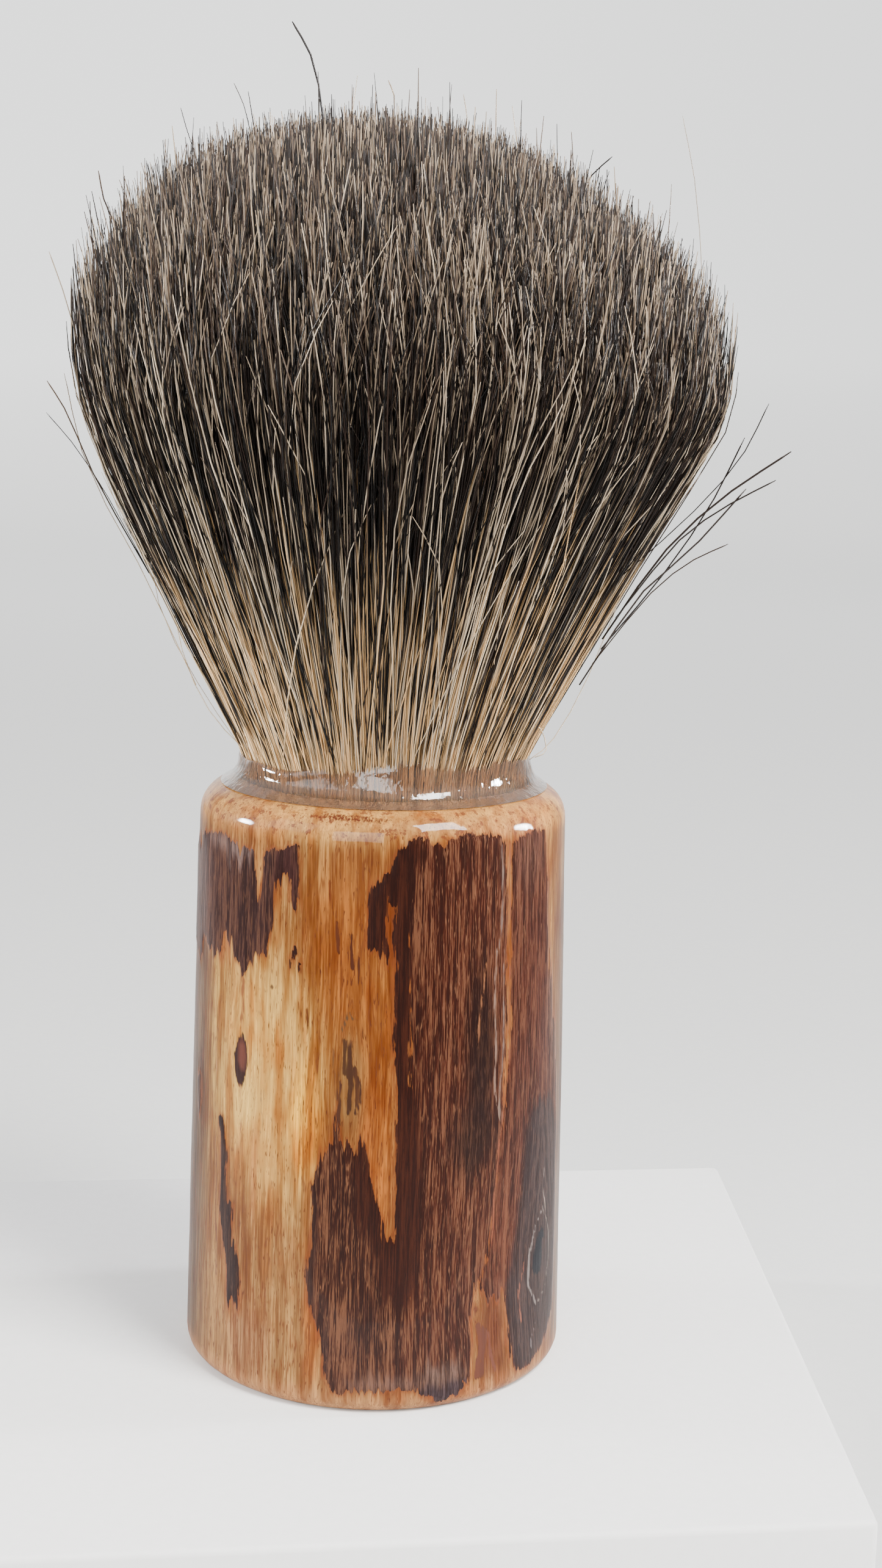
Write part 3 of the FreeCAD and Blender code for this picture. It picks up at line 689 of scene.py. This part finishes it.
def badger_hair():
    """Three sorts of hair: banded with a dark tip, banded with a pale tip, and pale all along."""
    material, tree, shader = new_material("badger_hair", specular_ior_level=0.2)
    band, sort, shade = attribute(tree, "band"), attribute(tree, "sort"), attribute(tree, "shade")
    dark, tipped, pale = (hair_ramp(tree, band, stops) for stops in (DARK_TIPPED, PALE_TIPPED, PALE))
    whole = blended(tree, ramped(tree, sort, 0.4, 0.6), dark, tipped)
    whole = blended(tree, ramped(tree, sort, 1.4, 1.6), whole, pale)
    dulled = ramped(tree, shade, 0.0, 0.65, 0.85, 0.0)
    dulled = sums(tree, "MULTIPLY", dulled, ramped(tree, band, 0.0, 0.4, 0.4, 1.0))
    whole = blended(tree, dulled, whole, rgb(52, 38, 30))
    tree.links.new(whole, shader.inputs["Base Color"])
    scales = clouds(tree, scaled(tree, object_place(tree), (9000, 9000, 2500)), 1.0, 1.0)
    tree.links.new(ramped(tree, scales, 0.2, 0.8, 0.36, 0.55), shader.inputs["Roughness"])
    return material


def clear_resin():
    """Poured resin, faintly clouded and warm."""
    material, tree, shader = new_material(
        "clear_resin", transmission_weight=0.96, ior=1.47, coat_weight=0.4, coat_roughness=0.02
    )
    here = scaled(tree, object_place(tree), (1000, 1000, 1000))
    cloudy = clouds(tree, here, 0.5, 3.0)
    tint = blended(tree, ramped(tree, cloudy, 0.3, 0.7), rgb(240, 208, 180), rgb(228, 190, 166))
    tree.links.new(tint, shader.inputs["Base Color"])
    tree.links.new(ramped(tree, cloudy, 0.35, 0.7, 0.01, 0.05), shader.inputs["Roughness"])
    ripples = clouds(tree, here, 0.9, 2.0)
    ripple = wire(tree, "ShaderNodeBump", {"Height": ripples, "Strength": 0.36, "Distance": 0.0004})
    tree.links.new(ripple.outputs[0], shader.inputs["Normal"])
    return material


def hidden_finish(name, colour, darker, scale, roughness):
    """A mottled finish for a piece sealed inside."""
    material, tree, shader = new_material(name, roughness=roughness)
    spots = clouds(tree, object_place(tree), scale, 4.0)
    tree.links.new(blended(tree, spots, rgb(*colour), rgb(*darker)), shader.inputs["Base Color"])
    bump = wire(tree, "ShaderNodeBump", {"Height": spots, "Strength": 0.3, "Distance": 0.0001})
    tree.links.new(bump.outputs[0], shader.inputs["Normal"])
    return material


# ---------------------------------------------------------------- the pieces


# How finely the wood is divided, around and up, so that bark and colours have sharp edges
ROUND_CUTS, UP_CUTS = 480, 166


def turn_handle():
    """The billet: tapered, its ends rounded, bored, and then let sag a little out of true."""
    piece = start_mesh(
        bpy.ops.mesh.primitive_cylinder_add, "turned_handle",
        vertices=ROUND_CUTS, radius=BASE_RADIUS, depth=TOP, location=(0, 0, TOP / 2),
    )
    bpy.ops.object.mode_set(mode="EDIT")
    pick(piece, "verts", lambda v: v.co.z > TOP / 2)
    taper = RIM_RADIUS / BASE_RADIUS
    bpy.ops.transform.resize(value=(taper, taper, 1))
    pick(piece, "edges", lambda e: at_height(e, TOP))
    bpy.ops.mesh.bevel(offset=SHOULDER, segments=10, affect="EDGES")
    pick(piece, "edges", lambda e: at_height(e, 0))
    bpy.ops.mesh.bevel(offset=FOOT_ROUNDING, segments=6, affect="EDGES")
    pick(piece, "faces", lambda f: len(f.verts) > 4 and f.calc_center_median().z > TOP / 2)
    land = RIM_RADIUS - SHOULDER - SOCKET_RADIUS
    bpy.ops.mesh.inset(thickness=land * 0.5)
    bpy.ops.mesh.inset(thickness=land * 0.5)
    bpy.ops.mesh.extrude_region_move(TRANSFORM_OT_translate={"value": (0, 0, SOCKET_FLOOR - TOP)})
    bpy.ops.mesh.inset(thickness=SOCKET_RADIUS * 0.6)
    pick(piece, "faces", lambda f: len(f.verts) > 4 and f.calc_center_median().z < TOP / 2 and f.normal.z < 0)
    bpy.ops.mesh.inset(thickness=2 * MM)
    pick(piece, "edges", lambda e: abs(e.verts[0].co.z - e.verts[1].co.z) > 30 * MM)
    bpy.ops.mesh.subdivide(number_cuts=UP_CUTS)
    bpy.ops.object.mode_set(mode="OBJECT")
    bpy.ops.object.shade_smooth_by_angle(angle=math.radians(40))

    mesh = piece.data
    points, bark = paint_wood(mesh)
    out = points.copy()
    mm = points / MM
    swell = 0.10 * noises(mm, (0.09, 0.09, 0.05), 5) + 0.03 * noises(mm, (0.4, 0.4, 0.15), 6)
    swell += 0.015 * noises(mm, (1.2, 1.2, 0.8), 7)
    step = 0.05 * np.clip(bark / 0.4, -1, 1)
    radius = np.hypot(points[:, 0], points[:, 1])
    outside = (radius > SOCKET_RADIUS + 0.2 * MM) & (points[:, 2] > 0.3 * MM)
    push = np.where(outside, (swell + step) * MM, 0)
    out[:, :2] *= (1 + push / np.maximum(radius, MM))[:, None]
    mesh.vertices.foreach_set("co", out.astype(np.float32).ravel())
    mesh.update()
    return piece


def pour_collar():
    """The clear mass: the plug in the socket, the skin over the shoulder and the wall it climbs to."""
    # Radius, and height above the wood's top, in mm.
    profile = [(PLUG_RADIUS, PLUG_FLOOR)] + [(radius * MM, TOP + above * MM) for radius, above in (
        (PLUG_RADIUS / MM, 0.02), (14.2, 0.03), (14.7, -0.02), (15.1, -0.14), (15.16, -0.08), (14.8, 0.16),
        (14.45, 0.38), (14.1, 0.7), (13.8, 1.15), (13.6, 1.6), (13.5, 2.4), (13.45, 3), (13.3, 3.25),
        (12.9, 3.3), (12.4, 3.15), (10, 2.9), (0.4, 2.8),
    )]
    piece = start_mesh(
        bpy.ops.mesh.primitive_circle_add, "poured_collar",
        vertices=192, radius=PLUG_RADIUS, fill_type="NGON", location=(0, 0, PLUG_FLOOR),
    )
    bpy.ops.object.mode_set(mode="EDIT")
    bpy.ops.mesh.select_all(action="SELECT")
    for (radius, height), (next_radius, next_height) in zip(profile, profile[1:]):
        bpy.ops.mesh.extrude_region_move(TRANSFORM_OT_translate={"value": (0, 0, next_height - height)})
        factor = next_radius / radius
        bpy.ops.transform.resize(value=(factor, factor, 1))
    bpy.ops.mesh.select_all(action="SELECT")
    bpy.ops.mesh.normals_make_consistent(inside=False)
    bpy.ops.object.mode_set(mode="OBJECT")
    mesh = piece.data
    points = points_of(mesh)
    angle, height, radius = unrolled(points)
    around = np.radians(angle)
    above = height - TOP / MM
    climb = np.clip((above - 0.8) / 2, 0, 1) * np.clip((radius - 11) / 2, 0, 1)
    rise = 0.35 * np.sin(around * 2 + 0.6) + 0.22 * np.sin(around * 5 + 2) + 0.14 * np.sin(around * 11)
    # A tongue of resin pulled up on the hair at the right.
    rise += 0.7 * np.sin(around) + 0.1
    rise += 1.6 * np.exp(-(((angle - 86) / 7) ** 2))
    points[:, 2] += climb * rise * MM
    foot = (above > 0.1) & (radius > 13)
    wave = 1 + 0.012 * climb * np.sin(around * 7 + 1) + 0.006 * np.sin(around * 4) * foot
    points[:, :2] *= wave[:, None]
    mesh.vertices.foreach_set("co", points.astype(np.float32).ravel())
    mesh.update()
    bpy.ops.object.shade_smooth_by_angle(angle=math.radians(50))
    return piece


# The knot's outline in mm: height and radius up its side, then radius and height over its crown.
SIDE_LINE = [
    (44, 12.2), (55, 12.6), (57, 13.0), (60, 14.5), (65, 16.9), (70, 19.3), (75, 21.8), (80, 24.3),
    (84, 26.2), (88, 27.9), (91, 28.5), (95, 28.6), (120, 28.3),
]
CROWN_LINE = [
    (0, 114.3), (6, 113.9), (11.5, 112.6), (16.2, 110.8), (19.2, 109), (21.2, 107.1), (23.1, 105.3),
    (24.8, 103.4), (26.2, 101.4), (27.2, 99.5), (28, 97.5), (28.6, 94.5), (29, 92),
]
# The heights in mm between which hairs start, inside the clear plug
ROOTS = (51.3, 52.6)
# How wide the crown is, in mm from its centre to the outermost tips
CROWN_RADIUS = 28.9
# What share of the hairs may end low at the rim, and what share stand up out of the crown
SHORT_SHARE, PROUD_SHARE = 0.45, 0.009
# Where the black band of a hair begins and how far below the tip it ends: mean and spread in mm
BAND_BEGINS, BAND_ENDS = (73.3, 5.0), (15, 7)
# How far the knot has moved to the right, in mm, and how steeply its crown falls to that side
SHIFT, FALL = 0.9, 0.085
# How far along a hair its joints are, and how thick it is at each: only the very end is pointed.
JOINTS = (0, 0.1, 0.2, 0.36, 0.54, 0.72, 0.86, 0.95, 1)
TAPER = (0.85, 0.95, 1, 1, 1, 1, 1, 0.97, 0.5)


def hair_lines(count, seed, outer):
    """Centre lines of hairs in mm, as an array (hair, joint, 3).

    outer is the smallest share of the bundle's radius at which these hairs stand.
    """
    rng = np.random.default_rng(seed)
    side_z, side_r = np.array(SIDE_LINE).T
    crown_r, crown_z = np.array(CROWN_LINE).T

    def each(values):
        return np.asarray(values)[:, None]

    share = np.sqrt(rng.uniform(outer**2, 1, count))
    around = rng.uniform(0, 2 * np.pi, count)
    short = rng.exponential(0.6, count)
    short += np.where(rng.random(count) < SHORT_SHARE, rng.uniform(0, 18, count) * share**3, 0)
    tip = np.interp(share * CROWN_RADIUS, crown_r, crown_z) + rng.normal(0, 0.45, count) - short
    proud = rng.random(count) < PROUD_SHARE
    tip = tip + np.where(proud, rng.uniform(1, 3.5, count) + short, 0)
    root = rng.uniform(*ROOTS, count)
    joints = np.array(JOINTS)
    height = each(root) + each(tip - root) * joints
    spread = np.interp(height, side_z, side_r)
    free = np.clip((height - 56) / 50, 0, 1)
    # Most hairs drift a little as they rise, and a few cross many others.
    loose = np.where(rng.random(count) < 0.25, 2.4, 1.0)

    def drifting(most, swings):
        lean = each(rng.normal(0, most, count) * loose) * free
        swing = np.sin(free * swings + each(rng.uniform(0, 6.28, count)))
        swing = swing * each(rng.normal(0, most * 0.35, count) * loose)
        return lean + swing * free

    out = each(share) * spread + drifting(0.9, 6) * np.clip(each(share), 0.3, 1)
    # The last few millimetres turn any way.
    end = np.clip((joints - 0.8) / 0.2, 0, 1) ** 1.3
    out += each(rng.normal(0, 1.0, count)) * end
    limit = spread + 0.7
    out = np.where(out > limit, limit + (out - limit) * 0.25, out)
    lock = np.sin(around * 29 + 26 * share) * 0.4 + np.sin(around * 71 + 13 * share) * 0.3
    aside = drifting(2.0, 4) + drifting(0.8, 11) + each(lock) * free + each(rng.normal(0, 1.3, count)) * end
    theta = each(around) + aside / np.maximum(spread, 5)
    return settle(np.stack([out * np.cos(theta), out * np.sin(theta), height], 2))


# Hairs that have come away from the rest: (x, y, z) along each in mm, sort, thickness
STRAYS = [
    ([(-6.4, -1, 106), (-6.6, -1, 113), (-7.6, -1, 118.4), (-9.5, -1, 121.8)], 0, 0.2),
    ([(27.6, -4, 90), (27.2, -4, 99), (26.2, -4, 108), (24.7, -4, 114.5)], 2, 0.09),
    ([(19, -8, 69), (24, -8, 76.6), (29, -8, 81.6), (35, -8, 85.9)], 0, 0.22),
    ([(20, -9, 71), (25, -9, 77.6), (29, -9, 80.8), (33.6, -9, 83.4)], 0, 0.2),
    ([(19, -7, 68), (24, -7, 74.4), (28, -7, 80.6), (31, -7, 87)], 0, 0.2),
    ([(17, -9, 65), (22, -9, 73), (26.4, -9, 77.2), (31, -9, 82.6)], 0, 0.18),
    ([(20, -7, 74), (26.4, -7, 80), (30.6, -7, 85), (33, -7, 90)], 0, 0.16),
    ([(18, -10, 67), (22.6, -10, 73), (26, -10, 76), (29.5, -10, 77.8)], 1, 0.12),
    ([(-25.4, -6, 88), (-27.2, -6, 92.6), (-28.6, -6, 97.4), (-30, -6, 101.3)], 2, 0.11),
    ([(-21, -9, 74), (-25.6, -9, 82), (-28, -9, 87.4), (-29.8, -9, 90.3)], 1, 0.13),
    ([(-20, -8, 72), (-24.4, -8, 80), (-27.4, -8, 84.6), (-30, -8, 87.6)], 0, 0.12),
    ([(-17, -7, 64), (-21.8, -7, 74), (-26.6, -7, 83), (-28.6, -7, 91)], 2, 0.12),
    ([(-18.6, -5, 70), (-23.6, -5, 78), (-26.4, -5, 86), (-27, -5, 92)], 2, 0.1),
    ([(-12.6, -4, 57.6), (-15.8, -4, 61), (-18.2, -4, 65.8), (-19.6, -4, 72)], 2, 0.09),
    ([(-13, -5, 58), (-16.8, -5, 63.6), (-20.2, -5, 70), (-21.4, -5, 76)], 2, 0.08),
    ([(13.2, -4, 57.4), (15.2, -4, 59.2), (17.8, -4, 64), (20.6, -4, 71.4)], 2, 0.08),
    ([(13.6, -5, 57.8), (14.6, -5, 58.4), (14.2, -5, 60.2), (13.2, -5, 61)], 2, 0.09),
    ([(-16.4, -3, 104), (-17.2, -3, 108.4), (-18.4, -3, 112), (-19, -3, 114)], 0, 0.12),
    ([(-12.6, -3, 106), (-12.8, -3, 111), (-13.4, -3, 114), (-14.4, -3, 116.2)], 1, 0.11),
    ([(-1, -2, 108), (-0.6, -2, 113), (-0.4, -2, 115.4), (-1, -2, 117)], 2, 0.1),
    ([(5, -2, 106), (5.6, -2, 111.4), (6, -2, 113.6), (5.6, -2, 116)], 2, 0.1),
    ([(14, -3, 100), (15.6, -3, 106), (16.8, -3, 109), (18.8, -3, 111)], 0, 0.12),
    ([(-22, -4, 98), (-24, -4, 103), (-25.4, -4, 105.6), (-26, -4, 108.4)], 1, 0.12),
    ([(-9, -12, 58), (-8, -17.6, 68), (-5, -22.4, 78), (0, -25, 88)], 2, 0.12),
    ([(9, -10, 58), (9, -16, 68), (10, -21, 77), (13, -25, 87)], 2, 0.12),
    ([(2, -14, 58), (6, -18.6, 68), (10.6, -21.4, 77), (16, -21.6, 86)], 2, 0.11),
]


def stray_lines():
    """Smooth curves through the four places given for each stray hair."""
    along = 3 * np.array(JOINTS)
    lines = []
    for places, _, _ in STRAYS:
        places = np.array(places, float)
        before = np.vstack([2 * places[0] - places[1], places, 2 * places[-1] - places[-2]])
        line = []
        for value in along:
            k = min(int(value), 2)
            t = value - k
            a, b, c, d = before[k : k + 4]
            curve = 2 * b + (c - a) * t + (2 * a - 5 * b + 4 * c - d) * t**2 + (3 * b - a - 3 * c + d) * t**3
            line.append(0.5 * curve)
        lines.append(line)
    return np.array(lines)


def settle(lines):
    """The whole knot sits a little to the right, and its crown falls away to that side."""
    x, z = lines[..., 0], lines[..., 2]
    rise = np.clip((z - 57) / 33, 0, 1)
    moved = lines.copy()
    moved[..., 0] += SHIFT * rise**2
    moved[..., 2] -= FALL * x * np.clip((z - 78) / 30, 0, 1)
    return moved


def smooth_step(value, low, high):
    part = np.clip((value - low) / (high - low), 0, 1)
    return part * part * (3 - 2 * part)


def comb_hair(name, lines, seed, sorts=None, thickness=0.12):
    """Makes each centre line a three-sided tapered hair, and colours it along its length."""
    rng = np.random.default_rng(seed)
    count, joints, _ = lines.shape
    forward = np.gradient(lines, axis=1)
    forward /= np.linalg.norm(forward, axis=2, keepdims=True)
    across = np.cross(forward, rng.normal(size=(count, 1, 3)))
    across /= np.linalg.norm(across, axis=2, keepdims=True)
    over = np.cross(forward, across)
    radius = np.reshape(thickness, (-1, 1)) / 2 * np.array(TAPER) * rng.uniform(0.75, 1.25, (count, 1))
    turns = np.arange(3) * 2 * np.pi / 3
    ring = across[:, :, None] * np.cos(turns)[:, None] + over[:, :, None] * np.sin(turns)[:, None]
    points = (lines[:, :, None] + ring * radius[:, :, None, None]).reshape(-1, 3) * MM

    per_hair = joints * 3
    a = (np.arange(joints - 1)[:, None] * 3 + np.arange(3)).ravel()
    b = (np.arange(joints - 1)[:, None] * 3 + (np.arange(3) + 1) % 3).ravel()
    quads = np.stack([a, b, b + 3, a + 3], 1)
    starts = np.arange(count) * per_hair
    walls = (starts[:, None, None] + quads).reshape(-1, 4)
    caps = np.concatenate([starts[:, None] + [2, 1, 0], starts[:, None] + per_hair - 3 + np.arange(3)])
    mesh = bpy.data.meshes.new(name)
    mesh.vertices.add(len(points))
    mesh.vertices.foreach_set("co", points.astype(np.float32).ravel())
    corners = np.concatenate([walls.ravel(), caps.ravel()])
    mesh.loops.add(len(corners))
    mesh.loops.foreach_set("vertex_index", corners.astype(np.int32))
    sizes = np.concatenate([np.full(len(walls), 4), np.full(len(caps), 3)])
    mesh.polygons.add(len(sizes))
    mesh.polygons.foreach_set("loop_start", np.concatenate([[0], np.cumsum(sizes)[:-1]]).astype(np.int32))
    mesh.polygons.foreach_set("use_smooth", np.ones(len(sizes), bool))
    mesh.update(calc_edges=True)

    # The black band starts and ends at its own height on each hair. The colour's place, 0 to 1, runs
    # through the golden root, the change to black, the black and the tip.
    height, tip = lines[..., 2], lines[:, -1:, 2]
    begins = rng.normal(*BAND_BEGINS, (count, 1))
    ends = tip - np.clip(rng.normal(*BAND_ENDS, (count, 1)), 2, 34)
    band = 0.28 * smooth_step(height, 50, begins - 3) + 0.13 * smooth_step(height, begins - 3, begins + 3)
    band += 0.27 * smooth_step(height, begins + 3, ends) + 0.32 * smooth_step(height, ends, ends + 14)
    if sorts is None:
        # A few more of the outer hairs are pale: painted rim light on the flanks of the knot.
        middle = lines[:, 4]
        full = np.interp(middle[:, 2], *np.array(SIDE_LINE).T)
        outside = np.hypot(middle[:, 0], middle[:, 1]) / full > 0.86
        sorts = np.searchsorted((0.56, 0.78), rng.random(count) + np.where(outside, 0.05, 0))
    sorts = np.repeat(np.reshape(sorts, (-1, 1)), joints, 1)
    shade = np.repeat(np.clip(rng.normal(0.55, 0.24, (count, 1)), 0, 1), joints, 1)
    for attribute_name, values in (("band", band), ("sort", sorts), ("shade", shade)):
        store(mesh, attribute_name, "FLOAT", np.repeat(values[:, :, None], 3, 2), "value")
    piece = bpy.data.objects.new(name, mesh)
    bpy.context.scene.collection.objects.link(piece)
    return piece


# In metres: the flat floor's radius, and how far out and up its edge curves, in how many steps
FLOOR_RADIUS, BOWL_OUT, BOWL_UP, BOWL_STEPS = 1.2, 0.5, 0.8, 16
SLAB_HEIGHT = 14 * MM


def curved_floor():
    """A pale floor that curves up all round into a wall."""
    floor = start_mesh(
        bpy.ops.mesh.primitive_circle_add, "pale_floor",
        vertices=96, radius=FLOOR_RADIUS, fill_type="NGON", location=(0, 0, -SLAB_HEIGHT),
    )
    bpy.ops.object.mode_set(mode="EDIT")
    bpy.ops.mesh.select_all(action="SELECT")
    radius = FLOOR_RADIUS
    for turn in range(1, BOWL_STEPS + 1):
        angle = math.radians(turn * 90 / BOWL_STEPS)
        previous = math.radians((turn - 1) * 90 / BOWL_STEPS)
        grown = radius + BOWL_OUT * (math.sin(angle) - math.sin(previous))
        rise = BOWL_UP * (math.cos(previous) - math.cos(angle))
        bpy.ops.mesh.extrude_region_move(TRANSFORM_OT_translate={"value": (0, 0, rise)})
        bpy.ops.transform.resize(value=(grown / radius, grown / radius, 1))
        radius = grown
    pick(floor, "faces", lambda f: len(f.verts) > 4 and f.calc_center_median().z > 0.1)
    bpy.ops.mesh.delete(type="FACE")
    bpy.ops.object.mode_set(mode="OBJECT")
    bpy.ops.object.shade_smooth()
    return floor


def display_slab():
    """The slab the brush stands on, its left end and its rear edge a little out of square."""
    slab = start_mesh(
        bpy.ops.mesh.primitive_cube_add, "pale_slab",
        size=1, location=(-0.0235, 0.0048, -SLAB_HEIGHT / 2), scale=(0.13, 0.082, SLAB_HEIGHT),
    )
    bpy.ops.object.mode_set(mode="EDIT")
    bpy.ops.mesh.select_all(action="SELECT")
    bpy.ops.mesh.bevel(offset=0.6 * MM, segments=3, affect="EDGES")
    pick(slab, "verts", lambda v: v.co.x < 0)
    bpy.ops.transform.translate(value=(0, -12.5 * MM, 0))
    pick(slab, "verts", lambda v: v.co.y > 0)
    bpy.ops.transform.translate(value=(0, 2.6 * MM, 0))
    bpy.ops.object.mode_set(mode="OBJECT")
    bpy.ops.object.shade_smooth_by_angle(angle=math.radians(30))
    return slab


def pale_paint(name, screen, glow):
    """Matt paint with a faint mottle, and for the room's floor and wall a painted glow behind the brush and
    painted shade on the near side.
    """
    material, tree, shader = new_material(
        name, roughness=0.6, specular_ior_level=0.25, emission_strength=glow
    )
    here = object_place(tree)
    mottle = blended(tree, clouds(tree, here, 900.0, 2.0), rgb(*screen), rgb(*(c - 7 for c in screen)))
    if glow:
        # Painted light and shade: the floor and wall glow behind the brush, and their colour is painted dark
        # on the near side and outside a wedge of floor round the brush.
        x, y, z = wire(tree, "ShaderNodeSeparateXYZ", {0: here}).outputs
        off_centre = sums(tree, "ABSOLUTE", x)
        aside = sums(tree, "SUBTRACT", off_centre, sums(tree, "MULTIPLY", y, 0.3))
        spared_from_painted_shade = ramped(tree, aside, 0.1, 0.22, 1.0, 0.0)
        for share in (ramped(tree, y, -0.2, 0.0), ramped(tree, z, 0.0, 0.12, 1.0, 0.0)):
            spared_from_painted_shade = sums(tree, "MULTIPLY", spared_from_painted_shade, share)
        # Painted shade: the colour is painted dark outside the wedge of floor round the brush.
        mottle = blended(tree, spared_from_painted_shade, rgb(50, 50, 52), mottle)
        behind = ramped(tree, y, 0.25, 1.0)
        for share in (
            ramped(tree, z, -SLAB_HEIGHT, 0.14, 0.2, 1.0),
            ramped(tree, x, -0.6, 0.6, 1.1, 0.84),
            ramped(tree, off_centre, 0.6, 1.1, 1.0, 0.0),
        ):
            behind = sums(tree, "MULTIPLY", behind, share)
        # Painted glow of the floor and wall, strongest behind the brush.
        painted_glow = blended(tree, behind, (0.16, 0.16, 0.16, 1), (1.94, 1.96, 1.94, 1))
        tree.links.new(painted_glow, shader.inputs["Emission Color"])
    tree.links.new(mottle, shader.inputs["Base Color"])
    return material


def lay_floor():
    """The floor and the slab, which are staging and no part of the brush."""
    for ground, finish in (
        (curved_floor(), pale_paint("floor_and_wall", (214, 214, 212), 1.0)),
        (display_slab(), pale_paint("slab_paint", (240, 239, 237), 0.0)),
    ):
        ground.data.materials.append(finish)


def sky():
    """The even light of the room."""
    world = bpy.data.worlds.new("studio")
    world.use_nodes = True
    background = world.node_tree.nodes["Background"]
    background.inputs["Color"].default_value = rgb(250, 251, 255)
    background.inputs["Strength"].default_value = 0.9
    bpy.context.scene.world = world


# ---------------------------------------------------------------- putting it together

place_camera()
lay_floor()
sky()
soft_light("left fill", (-0.7, -0.35, 0.5), (0, 0, 0.05), 0.5, 2.4, (0.96, 0.98, 1.0))
# Panels with grids on either side reach the hair and hardly the handle.
soft_light("left side", (-0.62, 0.08, 0.24), (0, 0, 0.103), 0.2, 0.36, (0.95, 0.97, 1.0), 15)
soft_light("right side", (0.62, 0.08, 0.24), (0, 0, 0.103), 0.2, 0.36, (0.95, 0.97, 1.0), 15)
soft_light("front fill", (-0.25, -1.0, 0.35), (0, 0, 0.08), 0.6, 11.0, (1.0, 0.99, 0.97))
soft_light("window", (0.42, -0.4, 0.75), (0, 0, 0.04), 0.35, 21.0, (1.0, 0.985, 0.96))

handle = turn_handle()
handle.data.materials.append(branch_wood(make_grain_group()))
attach(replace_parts(handle, "handle"), "root")

collar = pour_collar()
collar.data.materials.append(clear_resin())
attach(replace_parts(collar, "knot_plug", "resin_seal"), "root")

hair = badger_hair()
LOCKS, HAIRS_EACH = 8, 3900
for number in range(LOCKS):
    lines = hair_lines(HAIRS_EACH, 100 + number, 0.0 if number % 2 else 0.7)
    lock = comb_hair(f"hair_{number + 1}", lines, 200 + number)
    lock.data.materials.append(hair)
    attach(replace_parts(lock, "hair_bundle"), "root")

_, stray_sorts, stray_widths = zip(*STRAYS)
strays = comb_hair("stray_hairs", stray_lines(), 300, stray_sorts, stray_widths)
strays.data.materials.append(hair)
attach(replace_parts(strays, "hair_bundle"), "root")

finishes = {
    "socket_adhesive": hidden_finish("cured_adhesive", (206, 182, 132), (188, 158, 104), 600.0, 0.4),
    "root_binding": hidden_finish("waxed_thread", (222, 212, 188), (196, 180, 148), 4000.0, 0.6),
}
for node, finish in finishes.items():
    cad_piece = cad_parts[node]
    cad_piece.data.materials.clear()
    cad_piece.data.materials.append(finish)
